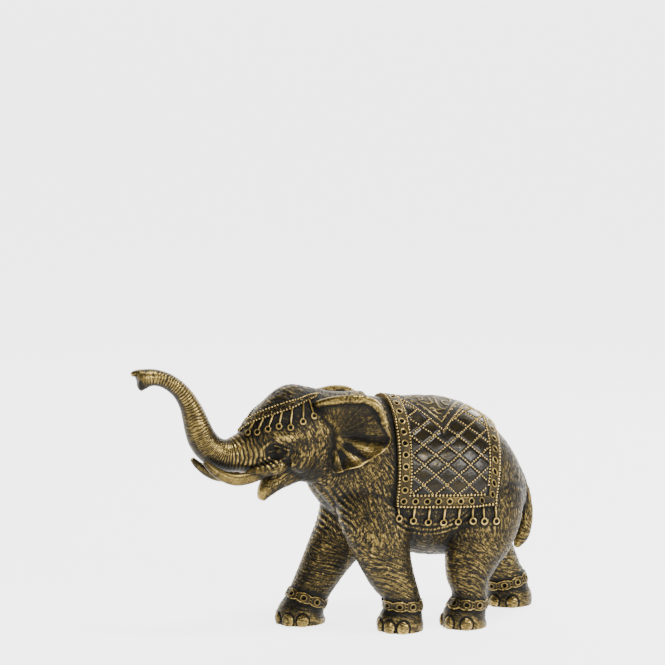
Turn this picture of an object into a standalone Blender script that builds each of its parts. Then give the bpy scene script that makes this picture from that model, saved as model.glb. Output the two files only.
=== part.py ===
"""A cast elephant figurine walking with its trunk raised, dressed in a saddle cloth, a headband and anklets.

The whole figure is one casting, so it is one solid. It faces -X, its left side is -Y and its soles stand on
z = 0. The animal's form is a share of its own length: the stations below are in units of FIGURE_LENGTH / 262,
close to a millimetre. The harness has its own sizes, in metres.
"""

import math

import bmesh
import bpy
from mathutils import Matrix, Vector
from mathutils.bvhtree import BVHTree

FIGURE_LENGTH = 0.262          # from the lip of the trunk to the heel of the right hind foot
UNIT = FIGURE_LENGTH / 262

# The saddle cloth, its border and the diamond over the spine
CLOTH_THICKNESS = 0.0015       # the cloth stands this far off the back
CLOTH_HALF_GIRTH = 0.070       # from the spine to a hem, along the flank
BORDER_WIDTH = 0.0082          # two bead rows with eyelets between them
BORDER_RISE = 0.0009           # the border stands this far off the cloth
DIAMOND_FRAME = 0.0042         # width of the diamond's frame
DIAMOND_RISE = 0.0008          # the frame stands this far off the cloth
SUNK = 0.0014                  # how deep a relief's underside is buried in the casting

# The pendants of the cloth and the headband: a ring on a stem
RING_RADIUS = 0.0017           # to the middle of the ring's wire
RING_WIRE = 0.0008
STEM_WIDTH = 0.0012

HEADBAND_WIDTH = 0.0076
HEADBAND_RISE = 0.0011
ANKLET_HEIGHT = 0.0058
ANKLET_RISE = 0.0012

# Fineness of the form
FORM_VOXEL = 0.0012
FORM_SMOOTHING = 7
FORM_TRIANGLES = 3400

# Body and head, as upright slices, in units: x, top, underside, half width
TORSO = (
    (-20, 120, 85, 12.0), (-14.5, 127, 77.5, 19.0), (-9, 132, 71.5, 23.0), (-2, 135, 65.5, 25.5),
    (8, 139.2, 57, 28.5), (20, 137.2, 49, 31.0), (40, 134.6, 42.5, 33.5), (60, 133.5, 39.5, 34.5),
    (76, 129.5, 41, 33.0), (90, 121.5, 49, 29.5), (101, 112.0, 54, 24.5), (109, 101.5, 58, 18.5),
    (115, 91.0, 62, 12.0), (118.8, 80, 67, 5.0),
)
HEAD = (
    (14, 140.8, 92, 17.0), (-4, 141.0, 85, 19.5), (-20, 144.3, 87.5, 20.5), (-31, 146.4, 89.5, 20.5),
    (-40, 143.0, 92, 18.5), (-48, 136.4, 94, 15.8), (-55, 129.4, 94.5, 13.4), (-62, 119.8, 95, 11.0),
)

# Limbs, as stations along a spine, in units: x, y, z, half width across, half depth in the limb's plane
TRUNK = (
    (-53, 0, 109.0, 12.6, 15.0), (-62, 0, 107.2, 11.0, 11.4), (-70.5, 0, 106.3, 10.0, 9.3),
    (-78.2, 0, 109.2, 9.2, 8.7), (-83.8, 0, 115.0, 8.8, 8.5), (-87.0, 0, 122.0, 8.3, 7.9),
    (-89.4, 0, 129.4, 7.6, 7.0), (-92.6, 0, 137.4, 6.8, 5.8), (-98.0, 0, 145.2, 6.0, 5.0),
    (-105.8, 0, 151.0, 5.4, 4.7), (-113.4, 0, 153.2, 5.2, 4.9), (-120.0, 0, 152.6, 5.4, 5.6),
    (-123.4, 0, 152.6, 4.6, 4.4),
)
UPPER_LIP_OF_TRUNK = ((-116, 0, 155.0, 4.6, 2.9), (-122, 0, 156.0, 4.0, 2.2), (-126.6, 0, 155.2, 2.2, 1.5))
LOWER_LIP_OF_TRUNK = ((-116, 0, 151.0, 4.2, 2.8), (-119.4, 0, 148.4, 3.4, 2.4), (-121.4, 0, 146.0, 1.8, 1.4))
JAW = (
    (-26, 0, 101, 13.0, 11.0), (-35, 0, 95.5, 12.0, 9.5), (-42, 0, 89.8, 9.0, 7.0),
    (-47.2, 0, 83.6, 5.8, 4.6), (-49.4, 0, 78.8, 2.8, 2.2),
)
# One of each pair, on the left; the right one is its mirror image
LIP = (
    (-43, -14.2, 100.5, 4.4, 4.4), (-49, -13.0, 98.6, 3.6, 3.8), (-56, -11.8, 97.0, 3.0, 3.2),
    (-62, -10.8, 96.6, 1.8, 2.0),
)
TUSK = (
    (-52, -11.6, 96.8, 3.2, 3.2), (-57, -11.6, 95.2, 3.4, 3.5), (-62, -11.4, 94.0, 3.4, 3.6),
    (-67.5, -11.0, 93.6, 3.3, 3.6), (-73, -10.6, 94.9, 3.2, 3.3), (-78, -10.2, 97.5, 2.8, 2.9),
    (-82.0, -10.0, 100.5, 2.4, 2.4), (-84.6, -9.8, 103.0, 1.9, 1.9), (-86.2, -9.7, 104.8, 1.3, 1.3),
)
RIGHT_TUSK_LEAN = (-1.8, 0, -1.0)   # units: where the right tusk lies, against the left one
CHEEK = ((-22, -12, 107, 6.0, 8.0), (-29, -13.4, 105, 7.4, 9.0), (-36, -12.4, 104.5, 6.0, 7.0))
BROW = ((-30, -14.0, 121, 4.0, 4.0), (-37, -14.6, 119.5, 4.4, 4.4), (-44, -12.6, 115.5, 3.6, 3.6))
LEFT_FORELEG = (
    (14, -13, 82, 14.0, 22.0), (15.5, -17, 68, 15.5, 22.0), (17.5, -19, 55, 15.0, 19.0),
    (20.5, -19.5, 44, 13.8, 16.0), (25.0, -19.0, 33, 12.8, 13.8), (30.2, -18.5, 23.5, 11.4, 11.3),
    (32.8, -18.0, 15, 11.1, 11.0), (32.2, -18.0, 9.5, 12.2, 12.2), (31.4, -18.0, 4.5, 13.5, 13.7),
    (31.4, -18.0, -3, 13.0, 13.2),
)
RIGHT_FORELEG = (
    (16, 12, 84, 14.0, 22.0), (14.5, 16.5, 68, 15.0, 21.5), (9.0, 19.0, 54, 14.4, 18.6),
    (1.0, 20.0, 41, 13.2, 15.6), (-6.0, 20.0, 29.5, 12.4, 13.4), (-11.2, 20.0, 20.5, 11.9, 12.2),
    (-14.4, 20.0, 13.5, 12.0, 12.1), (-16.6, 20.0, 8.5, 13.0, 13.4), (-17.8, 20.0, 4, 14.1, 15.2),
    (-17.6, 20.0, -3, 13.4, 14.4),
)
LEFT_HINDLEG = (
    (86, -11, 80, 18.0, 27.0), (83.5, -16, 66, 17.5, 26.0), (80, -19.5, 53, 15.8, 22.5),
    (75.5, -21.5, 41.5, 13.8, 17.6), (73.0, -22.0, 31, 12.6, 14.2), (73.6, -22.0, 22, 11.3, 11.0),
    (73.6, -22.0, 14.5, 10.9, 10.5), (72.2, -22.0, 9.5, 11.8, 11.7), (70.5, -22.0, 4.5, 13.7, 13.6),
    (70.4, -22.0, -3, 13.2, 13.4),
)
RIGHT_HINDLEG = (
    (87, 11, 80, 18.0, 26.0), (90, 15.5, 66, 17.5, 24.5), (96, 19.0, 53.5, 15.8, 20.5),
    (103, 21.5, 42, 13.6, 16.5), (110.0, 22.5, 31.5, 12.4, 13.8), (115.2, 23.0, 22.5, 11.9, 12.2),
    (119.2, 23.0, 14.5, 12.0, 12.4), (119.8, 23.0, 9, 13.0, 13.4), (120.4, 23.0, 4, 13.9, 14.9),
    (120.2, 23.0, -3, 13.2, 14.2),
)
TAIL = (
    (104, 0, 99, 3.6, 3.6), (112.3, 0, 90, 3.6, 4.0), (117.4, 0, 79, 3.3, 4.4), (120.6, 0, 67, 3.1, 4.6),
    (120.8, 0, 56, 3.4, 4.6), (118.0, 0, 47, 3.8, 4.8), (114.0, 0, 40.0, 1.8, 2.0),
)

# The left ear, in units: the line where it grows from the head, and its free edge, both from the top down
EAR_ROOT = (
    (-20.5, -14.5, 133.5), (-17.0, -18.0, 126.5), (-13.0, -20.0, 119.8), (-12.5, -20.5, 109.4),
    (-12.0, -20.0, 97.5),
)
EAR_EDGE = (
    (-21.5, -14.5, 134.8), (-15.8, -22.0, 137.8), (-5.0, -28.0, 139.4), (4.0, -31.0, 138.9),
    (11.0, -32.5, 134.3), (15.0, -33.5, 124.7), (18.8, -34.0, 115.2), (12.3, -33.5, 108.6),
    (3.9, -32.0, 102.8), (-4.0, -29.0, 99.4), (-11.5, -22.0, 95.8),
)
RIGHT_EAR_SWING = (11, 0, -1.5)   # units: where the right ear's edge lies, against the left one's
EAR_THICKNESS = 0.0030
EAR_BOWL = 4.0                 # units: how far the ear is hollowed between root and edge
EAR_PLEATS = 4.5               # folds along the lower edge
EAR_PLEAT_START = 0.45         # share of the way down where they begin
EAR_PLEAT_DEPTH = 1.5          # units
EAR_ROLL = 1.9                 # units: radius of the rolled upper edge
EAR_ROLL_TAPER = 0.25          # share of the roll's radius that is lost towards both of its ends
EAR_ROLL_END = 0.52            # share of the edge that is rolled, from the top

# The cloth's place, in units
CLOTH_FRONT = 22.9
CLOTH_REAR = 86.0
CLOTH_LEAN_FRONT = 2.5         # how much further back its front edge lies at the spine than at the hems
CLOTH_LEAN_REAR = 9.0          # the same for its rear edge
CLOTH_HEM_FRONT = 75.5         # height of its lower edge on both flanks, at the front
CLOTH_HEM_REAR = 72.5          # and at the rear, where the flank is rounder
CLOTH_AXIS = 88.0              # height of the line that it is wrapped about
CLOTH_HALF_ANGLE = math.radians(140)   # the cloth's hems lie within this angle of straight up
BORDER_STEP = 0.3              # the border's outer wall stands this far inside the cloth's
DIAMOND_MIDDLE = 50.5
DIAMOND_HALF_LENGTH = 24.5
DIAMOND_REACH = 0.40           # share of the way from the spine to the hem

# The pendants along each hem: x, and how far the ring hangs below the hem
FRINGE = (
    (24.4, 6.6), (34.6, 8.4), (43.6, 9.2), (53.0, 9.4), (62.2, 9.0), (71.0, 8.6), (77.6, 8.6), (85.2, 8.6),
)

# The headband's lower edge on the left, from the ear to the middle of the forehead, in units
HEADBAND = (
    (-19.5, -12, 139.6), (-33.8, -16.2, 134.7), (-40.4, -15, 132.4), (-51.4, -9, 127.1), (-63.0, 0, 120.2),
)
HEADBAND_UP = (0.5, 0.0, 0.86)   # the way across the band, from its lower edge
# Its pendants: share of the way along the band's left half, and how far back and down the ring hangs from there
HEADBAND_PENDANTS = (
    (0.11, 1.0, 10.4), (0.195, -1.3, 11.2), (0.335, -1.1, 11.0), (0.45, -1.7, 8.5), (0.555, -2.8, 8.3),
    (0.665, -3.4, 8.3), (0.78, -3.0, 6.7),
)

# Anklets, in units: centre, and the tilt of the ring about Y in degrees
ANKLETS = (
    (32.4, -18.0, 15.4, 3.0), (-14.0, 20.0, 14.6, 20.0), (73.4, -22.0, 14.0, 3.0), (118.6, 23.0, 15.2, -12.0),
)
# Feet, in units: centre, radius to the nails, how many nails
FEET = (
    (31.2, -18.0, 13.2, 5), (-17.8, 20.0, 14.0, 5), (69.8, -22.0, 13.6, 4), (120.4, 23.0, 13.8, 4),
)
NAIL_ARC = math.radians(150)   # the nails spread over this much of the foot's front
NAIL = (3.4, 3.3, 1.9)         # units: half height, half width, and how far it stands out
NAIL_HEIGHT = 4.0              # units: of a nail's middle above the sole
EYE = (-45.5, -20.0, 109.5)    # units: the eye is on the skin nearest to this point
EYE_RADIUS = 0.0023

RING_SIDES = 6
LOFT_SIDES = 28
LOFT_STEPS = 5
FIGURE = "elephant_figurine"
RELIEFS = "reliefs"


def catmull_rom(rows, steps):
    """Rows of numbers made smooth, with steps - 1 more rows between each two."""
    padded = [rows[0], *rows, rows[-1]]
    smooth = []
    for before, start, end, after in zip(padded, padded[1:], padded[2:], padded[3:]):
        for k in range(steps):
            t = k / steps
            smooth.append(tuple(
                0.5 * (2 * b + (c - a) * t + (2 * a - 5 * b + 4 * c - d) * t * t
                       + (3 * b - a - 3 * c + d) * t * t * t)
                for a, b, c, d in zip(before, start, end, after)
            ))
    return smooth + [tuple(rows[-1])]


def at_share(points, share):
    """The point at this share of a polyline's length."""
    lengths = [(b - a).length for a, b in zip(points, points[1:])]
    left = share * sum(lengths)
    for a, b, length in zip(points, points[1:], lengths):
        if left <= length:
            return a.lerp(b, left / length)
        left -= length
    return points[-1].copy()


def new_object(name, bm, collection):
    mesh = bpy.data.meshes.new(name)
    bm.to_mesh(mesh)
    bm.free()
    obj = bpy.data.objects.new(name, mesh)
    bpy.data.collections[collection].objects.link(obj)
    return obj


def skin_over(bm, rings, capped=True, looped=True):
    """Faces between rings of vertices, each ring a closed loop."""
    count = len(rings[0])
    for lower, upper in zip(rings, rings[1:]):
        for k in range(count if looped else count - 1):
            after = (k + 1) % count
            bm.faces.new((lower[k], lower[after], upper[after], upper[k]))
    if capped:
        bm.faces.new(list(reversed(rings[0])))
        bm.faces.new(rings[-1])


def add_slices(bm, stations):
    """A body of upright elliptical slices."""
    rings = []
    for x, top, underside, half_width in catmull_rom(stations, LOFT_STEPS):
        middle = (top + underside) / 2
        half_height = (top - underside) / 2
        ring = []
        for side in range(LOFT_SIDES):
            angle = 2 * math.pi * side / LOFT_SIDES
            place = Vector((x, half_width * math.sin(angle), middle + half_height * math.cos(angle)))
            ring.append(bm.verts.new(place * UNIT))
        rings.append(ring)
    skin_over(bm, rings)


def add_limb(bm, stations, mirror=1, shift=(0, 0, 0)):
    """A tube of elliptical sections, each square to its spine; mirror -1 puts it on the other side."""
    rows = catmull_rom(stations, LOFT_STEPS)
    spine = [Vector((row[0], row[1] * mirror, row[2])) + Vector(shift) for row in rows]
    rings = []
    for k, row in enumerate(rows):
        along = (spine[min(k + 1, len(spine) - 1)] - spine[max(k - 1, 0)]).normalized()
        across = (Vector((0, 1, 0)) - along * along.y).normalized()
        deep = along.cross(across)
        ring = []
        for side in range(LOFT_SIDES):
            angle = 2 * math.pi * side / LOFT_SIDES
            offset = across * (math.cos(angle) * row[3]) + deep * (math.sin(angle) * row[4])
            ring.append(bm.verts.new((spine[k] + offset) * UNIT))
        rings.append(ring)
    skin_over(bm, rings)


def add_ear(bm, mirror, swing):
    """A hollowed leaf of even thickness, pleated along its lower edge and rolled along its upper one."""
    steps = 6
    root = [Vector(p) for p in catmull_rom(EAR_ROOT, steps)]
    last = steps * (len(EAR_EDGE) - 1)
    edge = [
        Vector(p) + Vector(swing) * max(0, math.sin(math.pi * k / last)) ** 0.5
        for k, p in enumerate(catmull_rom(EAR_EDGE, steps))
    ]
    rows = 48
    columns = 14
    leaf = bmesh.new()
    lines = []
    for row in range(rows + 1):
        down = row / rows
        inner = at_share(root, down)
        outer = at_share(edge, down)
        below = down - EAR_PLEAT_START
        pleated = min(1, max(0, below * 10))
        fold = EAR_PLEAT_DEPTH * math.sin(2 * math.pi * EAR_PLEATS * below / (1 - EAR_PLEAT_START))
        line = []
        for column in range(columns + 1):
            out = column / columns
            place = inner.lerp(outer, out)
            place.y += EAR_BOWL * math.sin(math.pi * out) * math.sin(math.pi * down) ** 0.5
            place.y += pleated * fold * out ** 1.5
            place.y *= mirror
            line.append(leaf.verts.new(place * UNIT))
        lines.append(line)
    skin_over(leaf, lines, capped=False, looped=False)
    bmesh.ops.recalc_face_normals(leaf, faces=leaf.faces)
    bmesh.ops.solidify(leaf, geom=list(leaf.faces), thickness=EAR_THICKNESS)
    bmesh.ops.recalc_face_normals(leaf, faces=leaf.faces)
    shell = bpy.data.meshes.new("ear")
    leaf.to_mesh(shell)
    leaf.free()
    bm.from_mesh(shell)
    bpy.data.meshes.remove(shell)
    rolls = 12
    roll = []
    for k in range(rolls + 1):
        x, y, z = at_share(edge, EAR_ROLL_END * k / rolls)
        radius = EAR_ROLL * (1 - EAR_ROLL_TAPER * (1 - math.sin(math.pi * k / rolls)))
        roll.append((x, y, z, radius, radius))
    add_limb(bm, roll, mirror)


def animal(name, collection, eared):
    """The bare animal: its lofts run together into one skin and smoothed where they meet."""
    bm = bmesh.new()
    add_slices(bm, TORSO)
    add_slices(bm, HEAD)
    for stations in (TRUNK, UPPER_LIP_OF_TRUNK, LOWER_LIP_OF_TRUNK, JAW, TAIL,
                     LEFT_FORELEG, RIGHT_FORELEG, LEFT_HINDLEG, RIGHT_HINDLEG):
        add_limb(bm, stations)
    for mirror, lean, swing in ((1, (0, 0, 0), (0, 0, 0)), (-1, RIGHT_TUSK_LEAN, RIGHT_EAR_SWING)):
        add_limb(bm, TUSK, mirror, lean)
        for stations in (LIP, CHEEK, BROW):
            add_limb(bm, stations, mirror)
        if eared:
            add_ear(bm, mirror, swing)
    bmesh.ops.recalc_face_normals(bm, faces=bm.faces)
    body = new_object(name, bm, collection)
    remesh = body.modifiers.new("one_skin", "REMESH")
    remesh.mode = "VOXEL"
    remesh.voxel_size = FORM_VOXEL
    smooth = body.modifiers.new("blend_the_joints", "SMOOTH")
    smooth.factor = 0.5
    smooth.iterations = FORM_SMOOTHING
    apply_modifiers(body)
    return body


def facet(body):
    """Fewer facets, taken first from where the form is flattest."""
    thin = body.modifiers.new("facets", "DECIMATE")
    thin.ratio = FORM_TRIANGLES / (2 * len(body.data.polygons))
    apply_modifiers(body)


def keep_casting(body):
    """Drops the specks that the unions leave where two reliefs graze each other."""
    bm = bmesh.new()
    bm.from_mesh(body.data)
    left = set(bm.verts)
    shells = []
    while left:
        shell = {left.pop()}
        edge = set(shell)
        while edge:
            edge = {e.other_vert(v) for v in edge for e in v.link_edges} - shell
            shell |= edge
        left -= shell
        shells.append(shell)
    shells.sort(key=len)
    for shell in shells[:-1]:
        bmesh.ops.delete(bm, geom=list(shell), context="VERTS")
    bm.to_mesh(body.data)
    bm.free()


def cut_soles(body):
    """Cuts the feet off flat at z = 0."""
    bm = bmesh.new()
    bm.from_mesh(body.data)
    cut = bmesh.ops.bisect_plane(
        bm, geom=[*bm.verts, *bm.edges, *bm.faces], dist=1e-6,
        plane_co=(0, 0, 0), plane_no=(0, 0, 1), clear_inner=True,
    )
    rim = [item for item in cut["geom_cut"] if isinstance(item, bmesh.types.BMEdge)]
    bmesh.ops.edgenet_fill(bm, edges=rim)
    bmesh.ops.recalc_face_normals(bm, faces=bm.faces)
    bm.to_mesh(body.data)
    bm.free()


def apply_modifiers(obj):
    bpy.context.view_layer.update()
    graph = bpy.context.evaluated_depsgraph_get()
    mesh = bpy.data.meshes.new_from_object(obj.evaluated_get(graph))
    obj.modifiers.clear()
    before = obj.data
    obj.data = mesh
    bpy.data.meshes.remove(before)


def skin_under_harness():
    """The smooth skin that the harness lies on, without the ears that hang over it."""
    bare = animal("bare_skin", RELIEFS, eared=False)
    bm = bmesh.new()
    bm.from_mesh(bare.data)
    tree = BVHTree.FromBMesh(bm)
    bm.free()
    bpy.data.objects.remove(bare)
    return tree


def hem_height(x):
    """Height of the cloth's lower edge at x, in units."""
    back = (x - CLOTH_FRONT) / (CLOTH_REAR - CLOTH_FRONT)
    return CLOTH_HEM_FRONT + (CLOTH_HEM_REAR - CLOTH_HEM_FRONT) * back


def on_back(tree, x, share):
    """The skin's point and normal at x, at a share of the way from the spine to a hem; left is negative."""
    low = 0.0
    high = CLOTH_HALF_ANGLE
    for _ in range(18):
        reach = (low + high) / 2
        place, _ = from_axis(tree, x, reach)
        low, high = (reach, high) if place.z > hem_height(x) * UNIT else (low, reach)
    back = (x - CLOTH_FRONT) / (CLOTH_REAR - CLOTH_FRONT)
    lean = CLOTH_LEAN_FRONT + (CLOTH_LEAN_REAR - CLOTH_LEAN_FRONT) * back
    return from_axis(tree, x + lean * (1 - abs(share)), share * reach)


def from_axis(tree, x, angle):
    """The skin's point and normal seen from outside, towards the line that the cloth is wrapped about."""
    out = Vector((0, math.sin(angle), math.cos(angle)))
    start = Vector((x, 0, CLOTH_AXIS)) * UNIT + out
    place, normal, _, _ = tree.ray_cast(start, -out)
    return place, (normal + out).normalized()


def on_flank(tree, x, z, side):
    """The skin's point on the left (side -1) or right flank at this x and z, in metres."""
    place, _, _, _ = tree.ray_cast(Vector((x, side, z)), Vector((0, -side, 0)))
    return place


def add_slab(bm, lines, rise, looped, base=-SUNK):
    """A closed slab over lines of (point, normal), from base to rise off the skin; looped joins its ends."""
    top = [[bm.verts.new(p + n * rise) for p, n in line] for line in lines]
    under = [[bm.verts.new(p + n * base) for p, n in line] for line in lines]
    count = len(lines)
    for k in range(count if looped else count - 1):
        after = (k + 1) % count
        for j in range(len(lines[0]) - 1):
            bm.faces.new((top[k][j], top[k][j + 1], top[after][j + 1], top[after][j]))
            bm.faces.new((under[k][j], under[after][j], under[after][j + 1], under[k][j + 1]))
        for j in (0, -1):
            bm.faces.new((top[k][j], top[after][j], under[after][j], under[k][j]))
    if not looped:
        for k in (0, -1):
            for j in range(len(lines[0]) - 1):
                bm.faces.new((top[k][j], under[k][j], under[k][j + 1], top[k][j + 1]))


def frame_lines(tree, corners, width, steps):
    """Lines across a frame of this width inside a loop of corners, each corner an (x, share) on the back."""
    middle = (sum(c[0] for c in corners) / len(corners), sum(c[1] for c in corners) / len(corners))
    lines = []
    for (x0, a0), (x1, a1) in zip(corners, corners[1:] + corners[:1]):
        for k in range(steps):
            t = k / steps
            outer = (x0 + (x1 - x0) * t, a0 + (a1 - a0) * t)
            inner = inset(corners, middle, outer, width)
            lines.append([on_back(tree, *outer), on_back(tree, *inner)])
    return lines


def inset(corners, middle, spot, width):
    """A spot on the frame's outer loop moved to its inner loop, which is the outer one made smaller."""
    half_length = max(c[0] for c in corners) - middle[0]
    half_reach = max(c[1] for c in corners) - middle[1]
    across = half_reach * CLOTH_HALF_GIRTH
    along = half_length * UNIT
    if len({c[0] for c in corners}) == 2:
        shrink = (1 - width / along, 1 - width / across)
    else:
        less = width * math.hypot(along, across) / (along * across)
        shrink = (1 - less, 1 - less)
    return tuple(m + (s - m) * f for m, s, f in zip(middle, spot, shrink))


def saddle_cloth(tree):
    bm = bmesh.new()
    columns = 8
    rows = 20
    lines = []
    for row in range(rows + 1):
        share = 2 * row / rows - 1
        lines.append([
            on_back(tree, CLOTH_FRONT + (CLOTH_REAR - CLOTH_FRONT) * column / columns, share)
            for column in range(columns + 1)
        ])
    add_slab(bm, lines, CLOTH_THICKNESS, looped=False)
    return bm


def cloth_borders(tree):
    """The border round the cloth and the diamond's frame."""
    bm = bmesh.new()
    base = CLOTH_THICKNESS / 2
    step = BORDER_STEP
    end = 1 - step * UNIT / CLOTH_HALF_GIRTH
    corners = [
        (CLOTH_FRONT + step, -end), (CLOTH_REAR - step, -end),
        (CLOTH_REAR - step, end), (CLOTH_FRONT + step, end),
    ]
    border = frame_lines(tree, corners, BORDER_WIDTH, 9)
    add_slab(bm, border, CLOTH_THICKNESS + BORDER_RISE, looped=True, base=base)
    corners = [
        (DIAMOND_MIDDLE - DIAMOND_HALF_LENGTH, 0), (DIAMOND_MIDDLE, -DIAMOND_REACH),
        (DIAMOND_MIDDLE + DIAMOND_HALF_LENGTH, 0), (DIAMOND_MIDDLE, DIAMOND_REACH),
    ]
    diamond = frame_lines(tree, corners, DIAMOND_FRAME, 5)
    add_slab(bm, diamond, CLOTH_THICKNESS + DIAMOND_RISE, looped=True, base=base)
    return bm


def add_pendant(rings, stems, tree, hook, eye):
    """A stem from hook down to a ring round eye, both on the skin nearest to these points."""
    centre, normal, _, _ = tree.find_nearest(eye)
    start, _, _, _ = tree.find_nearest(hook)
    down = (centre - start).normalized()
    side = normal.cross(down).normalized()
    down = side.cross(normal)
    loops = []
    for k in range(RING_SIDES):
        around = 2 * math.pi * k / RING_SIDES
        spoke = down * math.cos(around) + side * math.sin(around)
        loops.append([
            rings.verts.new(centre + spoke * (RING_RADIUS + out * RING_WIRE) + normal * (lift * RING_WIRE))
            for out, lift in ((1.0, -1.2), (0.0, 1.2), (-1.0, -1.2))
        ])
    for one, two in zip(loops, loops[1:] + loops[:1]):
        for j in range(3):
            rings.faces.new((one[j], one[(j + 1) % 3], two[(j + 1) % 3], two[j]))
    half = STEM_WIDTH / 2
    lines = []
    for spot in (start, centre - down * RING_RADIUS):
        place, lift, _, _ = tree.find_nearest(spot)
        lines.append([(place - side * half, lift), (place + side * half, lift)])
    add_slab(stems, lines, RING_WIRE * 0.8, looped=False)


def add_fringe(rings, stems, tree):
    """The row of pendants under each hem of the cloth."""
    for side in (-1, 1):
        for along, drop in FRINGE:
            x = along * UNIT
            hem = hem_height(along) * UNIT
            hook = on_flank(tree, x, hem + SUNK, side)
            add_pendant(rings, stems, tree, hook, on_flank(tree, x, hem - drop * UNIT, side))


def add_head_pendants(rings, stems, tree, path):
    """The pendants under the headband, the same on both sides."""
    for share, back, drop in HEADBAND_PENDANTS:
        for along in (share / 2, 1 - share / 2):
            hook = at_share(path, along)
            add_pendant(rings, stems, tree, hook, hook + Vector((back, 0, -drop)) * UNIT)


def headband(tree):
    """The band across the brow from ear to ear, with its pendants."""
    bm = bmesh.new()
    left = [Vector(p) * UNIT for p in catmull_rom(HEADBAND, 6)]
    right = [Vector((p.x, -p.y, p.z)) for p in reversed(left)]
    path = left + right[1:]
    lines = []
    up = Vector(HEADBAND_UP) * HEADBAND_WIDTH
    steps = 18
    for k in range(steps + 1):
        spot = at_share(path, k / steps)
        lower, normal, _, _ = tree.find_nearest(spot)
        upper, over, _, _ = tree.find_nearest(spot + up)
        lines.append([(lower, normal), (upper, over)])
    add_slab(bm, lines, HEADBAND_RISE, looped=False)
    return bm, path


def anklets(tree):
    bm = bmesh.new()
    sides = 16
    for x, y, z, tilt in ANKLETS:
        centre = Vector((x, y, z)) * UNIT
        turn = Matrix.Rotation(math.radians(tilt), 3, "Y")
        lines = []
        for side in range(sides):
            angle = 2 * math.pi * side / sides
            out = turn @ Vector((math.cos(angle), math.sin(angle), 0))
            line = []
            for level in (-0.5, 0.5):
                start = centre + turn @ Vector((0, 0, level * ANKLET_HEIGHT))
                place, _, _, _ = tree.ray_cast(start, out)
                line.append((place, out))
            lines.append(line)
        add_slab(bm, lines, ANKLET_RISE, looped=True)
    return bm


def nails_and_eyes(tree):
    bm = bmesh.new()
    for x, y, radius, count in FEET:
        for k in range(count):
            angle = math.pi + NAIL_ARC * (k / (count - 1) - 0.5)
            out = Vector((math.cos(angle), math.sin(angle), 0))
            place = (Vector((x, y, NAIL_HEIGHT)) + out * radius) * UNIT
            turn = Matrix.Rotation(angle, 4, "Z") @ Matrix.Rotation(math.pi / 2, 4, "Y")
            shape = Matrix.Diagonal((*NAIL, 1))
            bmesh.ops.create_uvsphere(
                bm, u_segments=6, v_segments=4, radius=UNIT,
                matrix=Matrix.Translation(place) @ turn @ shape,
            )
    for mirror in (1, -1):
        place, normal, _, _ = tree.find_nearest(Vector((EYE[0], EYE[1] * mirror, EYE[2])) * UNIT)
        turn = Matrix.Translation(place) @ normal.to_track_quat("Z", "Y").to_matrix().to_4x4()
        bmesh.ops.create_uvsphere(bm, u_segments=8, v_segments=5, radius=EYE_RADIUS, matrix=turn)
    return bm


def unite(body, name, bm):
    """Adds closed shapes to the casting, and keeps them as a hidden helper."""
    bmesh.ops.recalc_face_normals(bm, faces=bm.faces)
    helper = new_object(name, bm, RELIEFS)
    helper.hide_render = True
    helper.display_type = "WIRE"
    union = body.modifiers.new(name, "BOOLEAN")
    union.operation = "UNION"
    union.solver = "MANIFOLD"
    union.object = helper


def stand_over_origin(body):
    """Moves the casting so that the middle of its box is over the origin."""
    corners = [Vector(corner) for corner in body.bound_box]
    low = Vector(min(c[k] for c in corners) for k in range(3))
    high = Vector(max(c[k] for c in corners) for k in range(3))
    middle = (low + high) / 2
    body.data.transform(Matrix.Translation((-middle.x, -middle.y, 0)))


def antique_brass():
    material = bpy.data.materials.new("antique_brass")
    material.use_nodes = True
    shader = material.node_tree.nodes["Principled BSDF"]
    shader.inputs["Base Color"].default_value = (0.36, 0.22, 0.07, 1)
    shader.inputs["Metallic"].default_value = 0.9
    shader.inputs["Roughness"].default_value = 0.42
    return material


def main():
    for old in list(bpy.data.objects):
        bpy.data.objects.remove(old)
    for name in (FIGURE, RELIEFS):
        bpy.context.scene.collection.children.link(bpy.data.collections.new(name))
    tree = skin_under_harness()
    body = animal("elephant", FIGURE, eared=True)
    facet(body)
    band, path = headband(tree)
    unite(body, "saddle_cloth", saddle_cloth(tree))
    unite(body, "cloth_borders", cloth_borders(tree))
    unite(body, "headband", band)
    rings = bmesh.new()
    stems = bmesh.new()
    add_fringe(rings, stems, tree)
    add_head_pendants(rings, stems, tree, path)
    unite(body, "pendant_rings", rings)
    unite(body, "pendant_stems", stems)
    unite(body, "anklets", anklets(tree))
    unite(body, "nails_and_eyes", nails_and_eyes(tree))
    apply_modifiers(body)
    keep_casting(body)
    cut_soles(body)
    stand_over_origin(body)
    body.data.materials.append(antique_brass())


main()
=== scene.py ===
"""An antiqued cast elephant, walking with its trunk raised, in a saddle cloth, a headband and anklets.

The casting is drawn in its own units, close to a millimetre, with its left side at -Y and its soles on
z = 0. Every finished piece is then moved so that the figure's box stands over the origin.
"""

import contextlib
import itertools
import math

import bmesh
import bpy
import numpy as np
from mathutils import Matrix, Vector
from mathutils.bvhtree import BVHTree


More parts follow.
